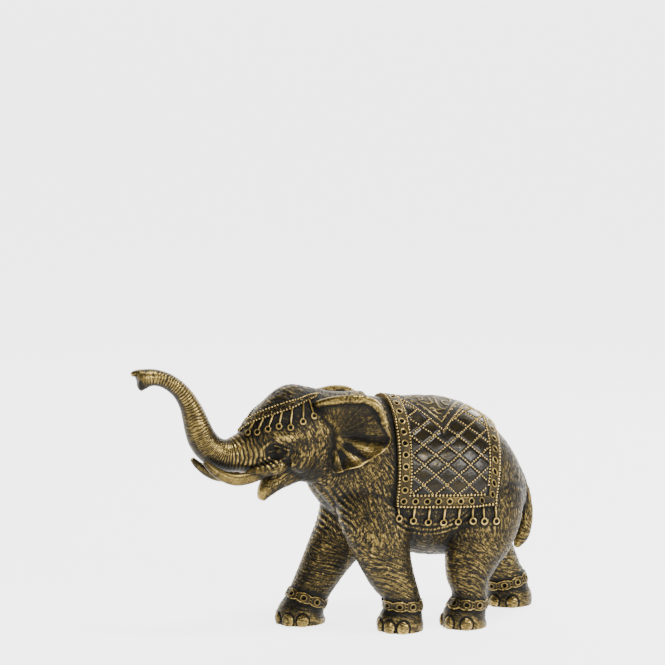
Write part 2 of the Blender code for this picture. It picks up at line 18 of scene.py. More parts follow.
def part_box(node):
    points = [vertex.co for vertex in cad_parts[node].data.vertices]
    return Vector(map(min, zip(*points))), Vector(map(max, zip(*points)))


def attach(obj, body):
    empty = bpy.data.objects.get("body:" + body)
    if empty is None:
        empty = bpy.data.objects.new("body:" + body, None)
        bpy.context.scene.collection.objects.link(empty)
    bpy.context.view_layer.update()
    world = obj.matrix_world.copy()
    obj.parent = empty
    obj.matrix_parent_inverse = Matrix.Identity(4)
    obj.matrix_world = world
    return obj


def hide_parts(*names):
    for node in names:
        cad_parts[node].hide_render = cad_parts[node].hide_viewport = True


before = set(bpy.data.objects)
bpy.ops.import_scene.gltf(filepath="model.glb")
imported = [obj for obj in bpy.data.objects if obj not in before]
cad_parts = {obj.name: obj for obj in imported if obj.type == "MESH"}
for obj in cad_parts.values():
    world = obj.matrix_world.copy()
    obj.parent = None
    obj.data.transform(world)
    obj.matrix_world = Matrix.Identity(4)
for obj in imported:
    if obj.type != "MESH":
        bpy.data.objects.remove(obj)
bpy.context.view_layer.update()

FIGURE_LENGTH = 0.262
UNIT = FIGURE_LENGTH / 262
MIDDLE = (4.26, 0.60, 0.0)     # units: the middle of the figure's box, as it is drawn
NODE = "elephant"
BODY = "root"

# The camera, measured on the photograph
PHOTO_SIDE = 665
FOCAL_PIXELS = 2028.0
SENSOR = 36.0
AIM = (-5.0, 0.0, 74.5)        # units: the point that the camera's place is measured from
AIM_PIXEL_Y = 503.0            # where that point falls in the photograph
CAMERA_AZIMUTH = math.radians(-20)
CAMERA_ELEVATION = math.radians(10)
CAMERA_DISTANCE = 1.2

# The animal's form, in units, as in the solid: upright slices are x, top, underside, half width
TORSO = (
    (-20, 120, 85, 12.0), (-14.5, 127, 77.5, 19.0), (-9, 132, 71.5, 23.0), (-2, 135, 65.5, 25.5),
    (8, 139.2, 57, 28.5), (20, 137.2, 49, 31.0), (40, 134.6, 42.5, 33.5), (60, 133.5, 39.5, 34.5),
    (76, 129.5, 41, 33.0), (90, 121.5, 49, 29.5), (101, 112.0, 54, 24.5), (109, 101.5, 58, 18.5),
    (115, 91.0, 62, 12.0), (118.8, 80, 67, 5.0),
)
HEAD = (
    (14, 140.8, 92, 17.0), (-4, 141.0, 85, 19.5), (-20, 144.3, 87.5, 20.5), (-31, 146.4, 89.5, 20.5),
    (-40, 143.0, 92, 18.5), (-48, 136.4, 94, 15.8), (-55, 129.4, 94.5, 13.4), (-62, 119.8, 95, 11.0),
)
# Limbs are x, y, z, half width across, half depth in the limb's plane
TRUNK = (
    (-53, 0, 109.0, 12.6, 15.0), (-62, 0, 107.2, 11.0, 11.4), (-70.5, 0, 106.3, 10.0, 9.3),
    (-78.2, 0, 109.2, 9.2, 8.7), (-83.8, 0, 115.0, 8.8, 8.5), (-87.0, 0, 122.0, 8.3, 7.9),
    (-89.4, 0, 129.4, 7.6, 7.0), (-92.6, 0, 137.4, 6.8, 5.8), (-98.0, 0, 145.2, 6.0, 5.0),
    (-105.8, 0, 151.0, 5.4, 4.7), (-113.4, 0, 153.2, 5.2, 4.9), (-120.0, 0, 152.6, 5.4, 5.6),
    (-123.4, 0, 152.6, 4.6, 4.4),
)
TRUNK_LEAD = ((-20, 0, 112, 18, 18), (-36, 0, 111, 16, 17))   # carries the trunk's spine on into the head
TRUNK_START = -38              # x; points ahead of it are measured along the trunk
UPPER_LIP_OF_TRUNK = ((-116, 0, 155.0, 4.6, 2.9), (-122, 0, 156.0, 4.0, 2.2), (-126.6, 0, 155.2, 2.2, 1.5))
LOWER_LIP_OF_TRUNK = ((-116, 0, 151.0, 4.2, 2.8), (-119.4, 0, 148.4, 3.4, 2.4), (-121.4, 0, 146.0, 1.8, 1.4))
JAW = (
    (-26, 0, 101, 13.0, 11.0), (-35, 0, 95.5, 12.0, 9.5), (-42, 0, 89.8, 9.0, 7.0),
    (-47.2, 0, 83.6, 5.8, 4.6), (-49.4, 0, 78.8, 2.8, 2.2),
)
LIP = (
    (-36.5, -12.2, 102.0, 2.0, 2.0), (-43, -14.2, 100.5, 4.4, 4.4), (-49, -13.0, 98.6, 3.6, 3.8),
    (-56, -11.8, 97.0, 3.0, 3.2), (-62, -10.8, 96.6, 1.8, 2.0),
)
TUSK = (
    (-52, -11.6, 96.8, 3.2, 3.2), (-57, -11.6, 95.2, 3.4, 3.5), (-62, -11.4, 94.0, 3.4, 3.6),
    (-67.5, -11.0, 93.6, 3.3, 3.6), (-73, -10.6, 94.9, 3.2, 3.3), (-78, -10.2, 97.5, 2.8, 2.9),
    (-82.0, -10.0, 100.5, 2.4, 2.4), (-84.6, -9.8, 103.0, 1.9, 1.9), (-86.2, -9.7, 104.8, 1.3, 1.3),
)
RIGHT_TUSK_SHIFT = (-1.8, 0, -1.0)
CHEEK = ((-22, -12, 107, 6.0, 8.0), (-29, -13.4, 105, 7.4, 9.0), (-36, -12.4, 104.5, 6.0, 7.0))
BROW = ((-30, -14.0, 121, 4.0, 4.0), (-37, -14.6, 119.5, 4.4, 4.4), (-44, -12.6, 115.5, 3.6, 3.6))
LEFT_FORELEG = (
    (14, -13, 82, 14.0, 22.0), (15.5, -17, 68, 15.5, 22.0), (17.5, -19, 55, 15.0, 19.0),
    (20.5, -19.5, 44, 13.8, 16.0), (25.0, -19.0, 33, 12.8, 13.8), (30.2, -18.5, 23.5, 11.4, 11.3),
    (32.8, -18.0, 15, 11.1, 11.0), (32.2, -18.0, 9.5, 12.2, 12.2), (31.4, -18.0, 4.5, 13.5, 13.7),
    (31.4, -18.0, -3, 13.0, 13.2),
)
RIGHT_FORELEG = (
    (16, 12, 84, 14.0, 22.0), (14.5, 16.5, 68, 15.0, 21.5), (9.0, 19.0, 54, 14.4, 18.6),
    (1.0, 20.0, 41, 13.2, 15.6), (-6.0, 20.0, 29.5, 12.4, 13.4), (-11.2, 20.0, 20.5, 11.9, 12.2),
    (-14.4, 20.0, 13.5, 12.0, 12.1), (-16.6, 20.0, 8.5, 13.0, 13.4), (-17.8, 20.0, 4, 14.1, 15.2),
    (-17.6, 20.0, -3, 13.4, 14.4),
)
LEFT_HINDLEG = (
    (86, -11, 80, 18.0, 27.0), (83.5, -16, 66, 17.5, 26.0), (80, -19.5, 53, 15.8, 22.5),
    (75.5, -21.5, 41.5, 13.8, 17.6), (73.0, -22.0, 31, 12.6, 14.2), (73.6, -22.0, 22, 11.3, 11.0),
    (73.6, -22.0, 14.5, 10.9, 10.5), (72.2, -22.0, 9.5, 11.8, 11.7), (70.5, -22.0, 4.5, 13.7, 13.6),
    (70.4, -22.0, -3, 13.2, 13.4),
)
RIGHT_HINDLEG = (
    (87, 11, 80, 18.0, 26.0), (90, 15.5, 66, 17.5, 24.5), (96, 19.0, 53.5, 15.8, 20.5),
    (103, 21.5, 42, 13.6, 16.5), (110.0, 22.5, 31.5, 12.4, 13.8), (115.2, 23.0, 22.5, 11.9, 12.2),
    (119.2, 23.0, 14.5, 12.0, 12.4), (119.8, 23.0, 9, 13.0, 13.4), (120.4, 23.0, 4, 13.9, 14.9),
    (120.2, 23.0, -3, 13.2, 14.2),
)
TAIL = (
    (104, 0, 99, 3.6, 3.6), (112.3, 0, 90, 3.6, 4.0), (117.4, 0, 79, 3.3, 4.4), (120.6, 0, 67, 3.1, 4.6),
    (120.8, 0, 56, 3.4, 4.6), (118.0, 0, 47, 3.8, 4.8), (114.0, 0, 40.0, 1.8, 2.0),
)
LEGS = (LEFT_FORELEG, RIGHT_FORELEG, LEFT_HINDLEG, RIGHT_HINDLEG)
# Feet are x, y, radius and number of nails
FEET = (
    (31.2, -18.0, 13.2, 5), (-17.8, 20.0, 14.0, 5), (69.8, -22.0, 13.6, 4), (120.4, 23.0, 13.8, 4),
)
NAIL_ARC = math.radians(150)
NAIL_HEIGHT = 3.2              # of a nail's middle over the ground
NAIL_HALF_WIDTH = 3.7
NAIL_HALF_HEIGHT = 4.3
NAIL_RISE = 1.25
NAIL_GROOVE = 0.4
EYE = (-45.5, 109.5)           # x and z of each eye
LOFT_SIDES = 48
LOFT_STEPS = 6
SPINE_STEPS = 10
JOIN_SMOOTHING = 7             # rounds of smoothing over the joins, at the plain form's voxel

# Fineness of the skin
FORM_VOXEL = 1.2               # units, of the plain form that the ornament is laid on
SKIN_VOXELS = {"head_skin": 0.45, "body_skin": 0.72}
NECK_CUT = 8.0                 # x where the finer skin of the head gives way to the body's
NECK_TUCK = 1.0                # each skin dips under the other over this length
NECK_DIP = 0.6
NECK_SIDES = {"head_skin": 1, "body_skin": -1}   # the side of the cut where each skin is hidden, in x
MOST_TRIANGLES = 188000
SHARP_EDGE = math.radians(65)


def catmull_rom(rows, steps):
    """Rows of numbers made smooth, with steps - 1 more rows between each two."""
    padded = [rows[0], *rows, rows[-1]]
    smooth = []
    for before, start, end, after in zip(padded, padded[1:], padded[2:], padded[3:]):
        for k in range(steps):
            t = k / steps
            smooth.append(tuple(
                0.5 * (2 * b + (c - a) * t + (2 * a - 5 * b + 4 * c - d) * t * t
                       + (3 * b - a - 3 * c + d) * t * t * t)
                for a, b, c, d in zip(before, start, end, after)
            ))
    return smooth + [tuple(rows[-1])]


def smoothstep(low, high, value):
    """0 at low, 1 at high and an even S between them."""
    t = np.clip((value - low) / (high - low), 0, 1)
    return t * t * (3 - 2 * t)


def bell(value, width, power=2):
    """1 at 0 and falling off to both sides, to about a third at one width."""
    return np.exp(-(value / width) ** power)


def patch(x, z, at_x, at_z, reach_x, reach_z):
    """1 in the middle of an oval patch, seen from the side, and falling off round it."""
    return np.exp(-((x - at_x) / reach_x) ** 2 - ((z - at_z) / reach_z) ** 2)


def distances(places, axis=0):
    """How far along its row each place lies."""
    steps = np.linalg.norm(np.diff(places, axis=axis), axis=-1)
    return np.concatenate([np.zeros_like(np.take(steps, [0], axis)), np.cumsum(steps, axis=axis)], axis=axis)


def link(name, data):
    obj = bpy.data.objects.new(name, data)
    bpy.context.scene.collection.objects.link(obj)
    return obj


def built(name, bm, turned=False):
    """An object made of what the bmesh holds, with its faces turned outwards unless they are already."""
    if not turned:
        bmesh.ops.recalc_face_normals(bm, faces=bm.faces)
    mesh = bpy.data.meshes.new(name)
    bm.to_mesh(mesh)
    bm.free()
    return link(name, mesh)


@contextlib.contextmanager
def edited(mesh):
    """The mesh as a bmesh, which is written back to it at the end."""
    bm = bmesh.new()
    bm.from_mesh(mesh)
    yield bm
    bm.to_mesh(mesh)
    bm.free()


def skin_over(bm, rings, capped=True):
    """Faces between rings of vertices, each ring a closed loop."""
    count = len(rings[0])
    for lower, upper in zip(rings, rings[1:]):
        for k in range(count):
            after = (k + 1) % count
            bm.faces.new((lower[k], lower[after], upper[after], upper[k]))
    if capped:
        bm.faces.new(list(reversed(rings[0])))
        bm.faces.new(rings[-1])


def add_slices(bm, stations):
    """A closed form of upright elliptical slices."""
    rings = []
    for x, top, underside, half_width in catmull_rom(stations, LOFT_STEPS):
        middle = (top + underside) / 2
        half_height = (top - underside) / 2
        ring = []
        for side in range(LOFT_SIDES):
            angle = 2 * math.pi * side / LOFT_SIDES
            place = (x, half_width * math.sin(angle), middle + half_height * math.cos(angle))
            ring.append(bm.verts.new(place))
        rings.append(ring)
    skin_over(bm, rings)


def add_limb(bm, stations, mirror=1, shift=(0, 0, 0), sides=LOFT_SIDES, steps=LOFT_STEPS):
    """A tube of elliptical sections, each square to its spine."""
    rows = catmull_rom(stations, steps)
    spine = [Vector((row[0], row[1] * mirror, row[2])) + Vector(shift) for row in rows]
    rings = []
    for k, row in enumerate(rows):
        along = (spine[min(k + 1, len(spine) - 1)] - spine[max(k - 1, 0)]).normalized()
        across = (Vector((0, 1, 0)) - along * along.y).normalized()
        deep = along.cross(across)
        ring = []
        for side in range(sides):
            angle = 2 * math.pi * side / sides
            offset = across * (math.cos(angle) * row[3]) + deep * (math.sin(angle) * row[4])
            ring.append(bm.verts.new(spine[k] + offset))
        rings.append(ring)
    skin_over(bm, rings)


def applied(obj):
    """The object's mesh with its modifiers applied."""
    bpy.context.view_layer.update()
    graph = bpy.context.evaluated_depsgraph_get()
    mesh = bpy.data.meshes.new_from_object(obj.evaluated_get(graph))
    obj.modifiers.clear()
    before = obj.data
    obj.data = mesh
    bpy.data.meshes.remove(before)
    return obj


def animal(name, voxel):
    """The bare animal without its ears and tusks: lofts run together into one skin and smoothed."""
    bm = bmesh.new()
    add_slices(bm, TORSO)
    add_slices(bm, HEAD)
    for stations in (TRUNK, UPPER_LIP_OF_TRUNK, LOWER_LIP_OF_TRUNK, JAW, TAIL, *LEGS):
        add_limb(bm, stations)
    for mirror in (1, -1):
        for stations in (LIP, CHEEK, BROW):
            add_limb(bm, stations, mirror)
    body = built(name, bm)
    remesh = body.modifiers.new("one_skin", "REMESH")
    remesh.mode = "VOXEL"
    remesh.voxel_size = voxel
    smooth = body.modifiers.new("blend_the_joints", "SMOOTH")
    smooth.factor = 0.5
    smooth.iterations = round(JOIN_SMOOTHING * (FORM_VOXEL / voxel) ** 2)
    return applied(body)


def read(items, what, width, kind=np.float32):
    """One row of values for each item of a mesh."""
    values = np.empty(len(items) * width, kind)
    items.foreach_get(what, values)
    return values.reshape(-1, width)


def places_of(mesh):
    return read(mesh.vertices, "co", 3).astype(float)


def normals_of(mesh):
    return read(mesh.vertex_normals, "vector", 3).astype(float)


def store(mesh, name, values):
    """Keeps one value on every point, or one each on the first points and 0 on the rest."""
    kept = np.zeros(len(mesh.vertices), np.float32)
    if np.ndim(values):
        kept[:np.size(values)] = np.ravel(values)
    else:
        kept[:] = values
    mesh.attributes.new(name, "FLOAT", "POINT").data.foreach_set("value", kept)


def move_to(mesh, places):
    mesh.vertices.foreach_set("co", places.astype(np.float32).ravel())
    mesh.update()


def mixed(lattice, cell, part):
    """Values between the points of a lattice: each mixes the eight corners of its cell."""
    total = np.zeros(len(part))
    for corner in itertools.product((0, 1), repeat=3):
        weight = np.ones(len(part))
        for axis, bit in enumerate(corner):
            weight *= part[:, axis] if bit else 1 - part[:, axis]
        total += weight * lattice[tuple(((cell + corner) % lattice.shape).T)]
    return total


NOISE_CELLS = 64               # before the noise comes round again


def noise(points, seed):
    """Smooth noise from -1 to 1, with cells of one unit."""
    lattice = np.random.default_rng(seed).uniform(-1, 1, (NOISE_CELLS,) * 3)
    cell = np.floor(points).astype(int)
    part = points - cell
    return mixed(lattice, cell, part * part * (3 - 2 * part))


def furrows(points, flow, spacing, length, seed):
    """1 in a furrow and 0 between them: wavy lines of this length where flow is constant."""
    q = points / length
    q[:, 0] += flow / spacing
    return bell(noise(q, seed), 0.2)


def on_trunk(points):
    """Which points are near the trunk, how far along it, and how near its underside: 1 there, -1 on top."""
    near = np.flatnonzero(points[:, 0] < TRUNK_START)
    points = points[near]
    rows = np.array([*TRUNK_LEAD, *catmull_rom(TRUNK, SPINE_STEPS)])
    spine = rows[:, :3]
    batches = np.array_split(points, len(points) // 4000 + 1)
    nearest = np.concatenate([
        ((batch[:, None, :] - spine[None]) ** 2).sum(axis=2).argmin(axis=1) for batch in batches
    ])
    ahead = spine[np.minimum(nearest + 1, len(spine) - 1)] - spine[np.maximum(nearest - 1, 0)]
    ahead /= np.linalg.norm(ahead, axis=1, keepdims=True)
    offset = points - spine[nearest]
    travelled = distances(spine)[nearest] + (offset * ahead).sum(axis=1)
    under = (offset[:, 2] * ahead[:, 0] - offset[:, 0] * ahead[:, 2]) / rows[nearest, 4]
    return near, travelled, under


def head_flow(points):
    """A height that runs across the head's folds: outward from the eye and along the trunk."""
    x, _, z = points.T
    flow = np.hypot(x - EYE[0], z - EYE[1]) - 50 + 4 * noise(points / 22, 1)
    near, travelled, _ = on_trunk(points)
    share = smoothstep(20, 34, travelled)
    flow[near] = flow[near] * (1 - share) + (travelled - 70) * share
    return flow


def body_flow(points):
    """The same for the body and legs: aslant over the shoulder and flank, up each leg."""
    x, y, z = points.T
    flow = 0.8 * x + 0.5 * (z - 72) - (z - 100) * 0.35 * smoothstep(70, 100, x)
    flow += 4 * noise(points / 22, 1)
    flow += 0.7 * np.abs(y) * smoothstep(88, 112, x) * smoothstep(40, 60, z)
    flow += np.minimum(z - 52, 0) + 0.25 * np.clip(12 - np.abs(z - 52), 0, 12) * (z < 64)
    legs = 1 - smoothstep(34, 60, z)
    for leg in LEGS:
        beside = ((y < 0) == (leg[0][1] < 0)) & ((x < 50) == (leg[0][0] < 50))
        axis = np.interp(z, [row[2] for row in leg[::-1]], [row[0] for row in leg[::-1]])
        flow -= np.where(beside, 0.65 * (x - axis) * legs, 0)
    return flow


def share_of_body(points):
    """0 on the head and trunk, 1 on the body and legs."""
    x, _, z = points.T
    return 1 - (1 - smoothstep(-12, 2, x)) * smoothstep(66, 80, z)


def skin_cross(points):
    """A height that runs along the skin's folds, for the finer lines that cross them."""
    x, y, z = points.T
    return 0.55 * x - 0.72 * z + 0.5 * y + 5 * noise(points / 18, 5)


TRUNK_RING_PITCH = 2.6         # at the trunk's root
TRUNK_RING_RISE = 0.6


def trunk_rings(points):
    """Height of the trunk's rings, and how much of a point belongs to the trunk."""
    height = np.zeros(len(points))
    share = np.zeros(len(points))
    near, travelled, under = on_trunk(points)
    x, _, z = points[near].T
    wander = 1.3 * noise(points[near] / 9, 2) + 0.5 * noise(points[near] / 3.5, 3)
    spacing = TRUNK_RING_PITCH - 0.9 * smoothstep(45, 75, travelled)
    phase = travelled / spacing + wander / spacing
    ring = np.abs(np.sin(math.pi * phase)) ** 0.7 - 0.62
    root = smoothstep(22, 36, travelled)
    sheath = (x > -66) * (1 - smoothstep(97, 102.5, z))
    tip = 1 - 0.8 * smoothstep(112, 130, travelled)
    rise = TRUNK_RING_RISE - 0.25 * smoothstep(50, 80, travelled)
    smooth_strip = smoothstep(50, 66, travelled) * smoothstep(0.55, 0.8, under)
    uneven = 0.75 + 0.35 * noise(points[near] / 6, 4)
    uneven -= 0.35 * smoothstep(0.0, 0.4, under) * noise(points[near] / 1.6, 10)
    height[near] = ring * rise * root * (1 - sheath) * tip * uneven * (1 - 0.85 * smooth_strip)
    share[near] = root
    return height, share


# Folds round the eye: from and to, measured from its middle, then width and height
EYE_FOLDS = (
    (-0.6, 3.2, 7.2, 0.9, 0.65, 1.0), (-3.4, -0.6, 2.4, 1.2, 0.6, 0.5), (-3.6, -3.4, 0.2, -6.4, 0.65, 0.9),
    (-6.0, -4.0, -1.8, -8.0, 0.6, 0.6), (-8.0, -4.6, -4.0, -9.4, 0.6, 0.5),
)


# Swellings of the head: x, z, both reaches and rise
HEAD_SWELLINGS = (
    (-42.5, 118.5, 9.0, 3.4, 1.3), (-29, 110.5, 5.5, 3.8, 1.2), (-57, 101.5, 6.5, 3.2, 0.9),
    (-33, 100, 5.0, 4.0, 0.6),
)
NOSTRIL = (-123.0, 150.6, 2.4, 2.2)   # x, z and both reaches
NOSTRIL_DEPTH = 0.9


def head_features(points):
    """The eye sockets and lids, the brows, cheeks and lips, and the hollow at the trunk's tip."""
    x, y, z = points.T
    height = np.zeros(len(points))
    side = smoothstep(6, 11, np.abs(y))
    dx = x - EYE[0]
    dz = z - EYE[1]
    socket = np.hypot(dx / 7.2, dz / 5.6)
    height += side * 0.5 * bell(socket - 1.0, 0.18)
    height -= side * 1.2 * bell(socket, 0.80, 4)
    for x1, z1, x2, z2, wide, rise in EYE_FOLDS:
        run, climb = x2 - x1, z2 - z1
        share = np.clip(((dx - x1) * run + (dz - z1) * climb) / (run ** 2 + climb ** 2), 0, 1)
        gap = np.hypot(dx - x1 - share * run, dz - z1 - share * climb)
        height += side * rise * bell(gap, wide)
    height -= NOSTRIL_DEPTH * patch(x, z, *NOSTRIL)
    for *oval, rise in HEAD_SWELLINGS:
        height += side * rise * patch(x, z, *oval)
    return height


# Patches painted darker or lighter: the darker ones partly patina, partly painted shade, the lighter ones
# painted highlights: x, z, both reaches and how much
PATINA_AND_PAINTED_LIGHT = (
    (-40.3, 117.5, 7.5, 3.0, -0.26), (-27.6, 107.8, 5.5, 2.4, -0.26), (-59.0, 96.8, 6.0, 3.0, -0.2),
    (-14.5, 121.5, 4.0, 5.0, -0.16), (-72.0, 112.5, 9.0, 3.0, -0.16), (-115.0, 153.5, 7.0, 2.2, -0.14),
    (-122.0, 150.2, 2.8, 3.2, 0.28), (-76.0, 102.0, 8.0, 3.6, 0.30), (-30.5, 112.4, 6.0, 2.4, 0.14),
    (-54.5, 116.3, 5.0, 5.0, 0.16), (110.0, 84.0, 16.0, 24.0, 0.10), (33.0, 9.0, 130.0, 7.0, 0.12),
    (-30.0, 141.0, 18.0, 6.0, 0.14), (-44.0, 84.0, 5.0, 5.0, 0.10),
)
PAINTED_UNDERSIDE_SHADE = 0.35         # painted shade on surfaces that face the ground


def skin_shade(points, normals):
    """How much darker the skin is painted: round the eye, painted shade beneath and on the trunk, and patches
    of patina, painted shade and painted highlights.
    """
    x, _, z = points.T
    shade = 0.16 * bell(np.hypot((x - EYE[0]) / 5.6, (z - EYE[1]) / 4.4), 1, 4)
    # patches of painted shade and painted highlights, with some patina
    for *oval, more in PATINA_AND_PAINTED_LIGHT:
        shade += more * patch(x, z, *oval)
    near, travelled, under = on_trunk(points)
    free = smoothstep(46, 60, travelled)
    # painted shade along the free trunk's underside and, less, along its top
    shade[near] += free * (0.22 * smoothstep(0.6, 0.85, under) + 0.14 * smoothstep(0.55, 0.85, -under))
    # painted shade on surfaces that face the ground
    return shade + PAINTED_UNDERSIDE_SHADE * np.clip(-0.2 - normals[:, 2], 0, 0.5)


def nails(points):
    """Height of the toenails and of the groove round each."""
    height = np.zeros(len(points))
    low = np.flatnonzero(points[:, 2] < 14)
    for x, y, radius, count in FEET:
        offset = points[low, :2] - (x, y)
        near = np.hypot(*offset.T) < radius + 5
        angle = np.arctan2(offset[:, 1], offset[:, 0]) % (2 * math.pi)
        for k in range(count):
            middle = math.pi + NAIL_ARC * (k / (count - 1) - 0.5)
            across = (angle - middle) * radius
            reach = np.hypot(across / NAIL_HALF_WIDTH, (points[low, 2] - NAIL_HEIGHT) / NAIL_HALF_HEIGHT)
            nail = NAIL_RISE * np.sqrt(np.clip(1 - reach ** 2, 0, 1)) - NAIL_GROOVE * bell(reach - 1.1, 0.12)
            height[low] += nail * near
    return height


THROAT_FOLD = 3.0              # from one fold of the throat to the next
THROAT_RISE = 0.32
# Furrows in the skin: from one to the next, their length and the seed of their noise
FOLD_FURROWS = (1.9, 4.5, 6)
CLOSE_FURROWS = (1.35, 4.0, 8)
CROSS_FURROWS = (2.6, 4.5, 7)
FOLD_DEPTH = 0.17
CLOSE_DEPTH = 0.16
CROSS_DEPTH = 0.08
PITTING = 0.07
# Creases round the shoulder: radius and how much of their full depth
SHOULDER_CREASES = ((30.0, 0.6), (33.0, 1.0), (36.2, 0.85))
SHOULDER = (46, 94.5)          # x and z of the creases' middle


def skin_relief(points):
    """How far the skin stands out from the smooth form, in units."""
    x, _, z = points.T
    rings, trunk = trunk_rings(points)
    body = share_of_body(points)

    def folds(spacing, length, seed):
        head = furrows(points, head_flow(points), spacing, length, seed) * (1 - body)
        return head + furrows(points, body_flow(points), spacing, length, seed) * body

    feet = smoothstep(9, 13, z)
    crossing = furrows(points, skin_cross(points), *CROSS_FURROWS)
    wrinkles = -FOLD_DEPTH * folds(*FOLD_FURROWS) - CROSS_DEPTH * crossing
    wrinkles -= CLOSE_DEPTH * folds(*CLOSE_FURROWS)
    wrinkles += PITTING * noise(points / 2.0, 9)
    height = rings + wrinkles * (1 - 0.75 * trunk) * (0.35 + 0.65 * feet)
    for radius, reach in SHOULDER_CREASES:
        arc = np.hypot(x - SHOULDER[0], z - SHOULDER[1]) - radius
        within = smoothstep(20, 26, x) * (1 - smoothstep(66, 74, x)) * (z < 75)
        height += within * reach * (0.3 * bell(arc - 1.2, 1.2) - 0.5 * bell(arc, 0.7))
    throat = smoothstep(-32, -20, x) * (1 - smoothstep(-9, 5, x))
    throat = throat * smoothstep(50, 58, z) * (1 - smoothstep(82, 92, z))
    across_throat = (0.78 * x + 0.62 * z + 0.8 * noise(points / 7, 11)) / THROAT_FOLD
    height += THROAT_RISE * throat * np.sin(2 * math.pi * across_throat)
    return height + head_features(points) + nails(points)


def cut_and_close(bm, place, normal, **side):
    """Cuts away one side of a plane and closes the hole."""
    cut = bmesh.ops.bisect_plane(
        bm, geom=[*bm.verts, *bm.edges, *bm.faces], dist=1e-4, plane_co=place, plane_no=normal, **side,
    )
    rim = [item for item in cut["geom_cut"] if isinstance(item, bmesh.types.BMEdge)]
    bmesh.ops.holes_fill(bm, edges=rim)


def thin_out(piece, most):
    """Fewer triangles, taken first from where the surface is flat."""
    piece.data.calc_loop_triangles()
    count = len(piece.data.loop_triangles)
    if count > most:
        piece.modifiers.new("fewer_faces", "DECIMATE").ratio = most / count
        applied(piece)


def skin(name, voxel, toward):
    """The skin on one side of the neck's cut, where toward is 1 for the head and -1 for the body."""
    piece = animal(name, voxel)
    with edited(piece.data) as bm:
        cut_and_close(bm, (NECK_CUT + toward * NECK_TUCK, 0, 0), (toward, 0, 0), clear_outer=True)
    points = places_of(piece.data)
    relief = skin_relief(points) - NECK_DIP * smoothstep(0, NECK_TUCK, (points[:, 0] - NECK_CUT) * toward)
    move_to(piece.data, points + normals_of(piece.data) * relief[:, None])
    with edited(piece.data) as bm:
        cut_and_close(bm, (0, 0, 0), (0, 0, 1), clear_inner=True)
    thin_out(piece, MOST_TRIANGLES)
    points = places_of(piece.data)
    store(piece.data, "flow", head_flow(points))
    store(piece.data, "body_flow", body_flow(points))
    store(piece.data, "body", share_of_body(points))
    store(piece.data, "cross", skin_cross(points))
    store(piece.data, "shade", skin_shade(points, normals_of(piece.data)))
    store(piece.data, "hatch", 1 - 0.6 * trunk_rings(points)[1])
    return piece


def finish_piece(piece, material):
    """Scales the piece to metres, sets it in the frame within the solid's box and gives it its finish."""
    mesh = piece.data
    mesh.transform(Matrix.Scale(UNIT, 4) @ Matrix.Translation([-c for c in MIDDLE]))
    places = places_of(mesh)
    low, high = (np.array(corner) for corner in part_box(NODE))
    move_to(mesh, np.clip(places, low, high))
    mesh.materials.clear()
    mesh.materials.append(material)
    mesh.polygons.foreach_set("use_smooth", np.ones(len(mesh.polygons), bool))
    mesh.set_sharp_from_angle(angle=SHARP_EDGE)
    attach(piece, BODY)


def camera():
    data = bpy.data.cameras.new("camera")
    data.sensor_width = SENSOR
    data.lens = FOCAL_PIXELS * SENSOR / PHOTO_SIDE
    obj = link("camera", data)
    aim = (Vector(AIM) - Vector(MIDDLE)) * UNIT
    flat = math.cos(CAMERA_ELEVATION)
    back = Vector((
        math.sin(CAMERA_AZIMUTH) * flat, -math.cos(CAMERA_AZIMUTH) * flat, math.sin(CAMERA_ELEVATION),
    ))
    obj.location = aim + back * CAMERA_DISTANCE
    pitch = CAMERA_ELEVATION - math.atan((AIM_PIXEL_Y - PHOTO_SIDE / 2) / FOCAL_PIXELS)
    obj.rotation_euler = (math.pi / 2 - pitch, 0, CAMERA_AZIMUTH)
    bpy.context.scene.camera = obj


PAPER = (0.4, 0.4, 0.4, 1)
PAPER_GLOW = 3.4               # of the sweep behind the figure
NEAR_GLOW = 0.25               # the share of it that the floor nearest the camera has
FLOOR_DROP = 0.0002            # metres under the soles, so that the two faces don't flicker


def stage():
    """A pale sweep, in metres: a floor that curves up into a wall far behind, darker near the camera."""
    bm = bmesh.new()
    profile = [(-3.0, 0.0), (-0.5, 0.0), (-0.14, 0.0), (1.2, 0.0)]
    profile += [(1.2 + 0.8 * math.sin(a), 0.8 - 0.8 * math.cos(a)) for a in np.linspace(0.1, math.pi / 2, 14)]
    profile += [(2.0, 4.0)]
    rows = [[bm.verts.new((x, y, z - FLOOR_DROP)) for x in (-5, 5)] for y, z in profile]
    for one, two in zip(rows, rows[1:]):
        bm.faces.new((one[0], one[1], two[1], two[0]))
    sweep = built("sweep", bm, turned=True)
    mesh = sweep.data
    far = smoothstep(-0.5, -0.14, places_of(mesh)[:, 1])
    store(mesh, "glow", NEAR_GLOW + (1 - NEAR_GLOW) * far)
    mesh.transform(Matrix.Rotation(CAMERA_AZIMUTH, 4, "Z"))
    mesh.polygons.foreach_set("use_smooth", np.ones(len(mesh.polygons), bool))
    paper = bpy.data.materials.new("paper")
    paper.use_nodes = True
    tree = paper.node_tree
    shader = tree.nodes["Principled BSDF"]
    shader.inputs["Base Color"].default_value = PAPER
    shader.inputs["Roughness"].default_value = 0.9
    shader.inputs["Emission Color"].default_value = (1, 1, 1, 1)
    glow = tree.nodes.new("ShaderNodeAttribute")
    glow.attribute_name = "glow"
    strength = tree.nodes.new("ShaderNodeMath")
    strength.operation = "MULTIPLY"
    strength.inputs[1].default_value = PAPER_GLOW
    tree.links.new(glow.outputs["Fac"], strength.inputs[0])
    tree.links.new(strength.outputs[0], shader.inputs["Emission Strength"])
    mesh.materials.append(paper)


# Soft boxes: place and size in metres, and watts
LIGHTS = {
    "top": ((0.15, -0.3, 1.25), (0.3, 0.25), 24),
    "right": ((0.85, -1.05, 0.45), (0.25, 0.4), 18),
    "front": ((0.35, -1.35, 0.47), (0.22, 0.18), 12),
    "left": ((-0.9, -0.8, 0.5), (0.4, 0.4), 6),
    "rim": ((0.9, 0.7, 0.6), (0.3, 0.5), 6),
}
LIT_POINT = Vector((0, 0, 0.08))


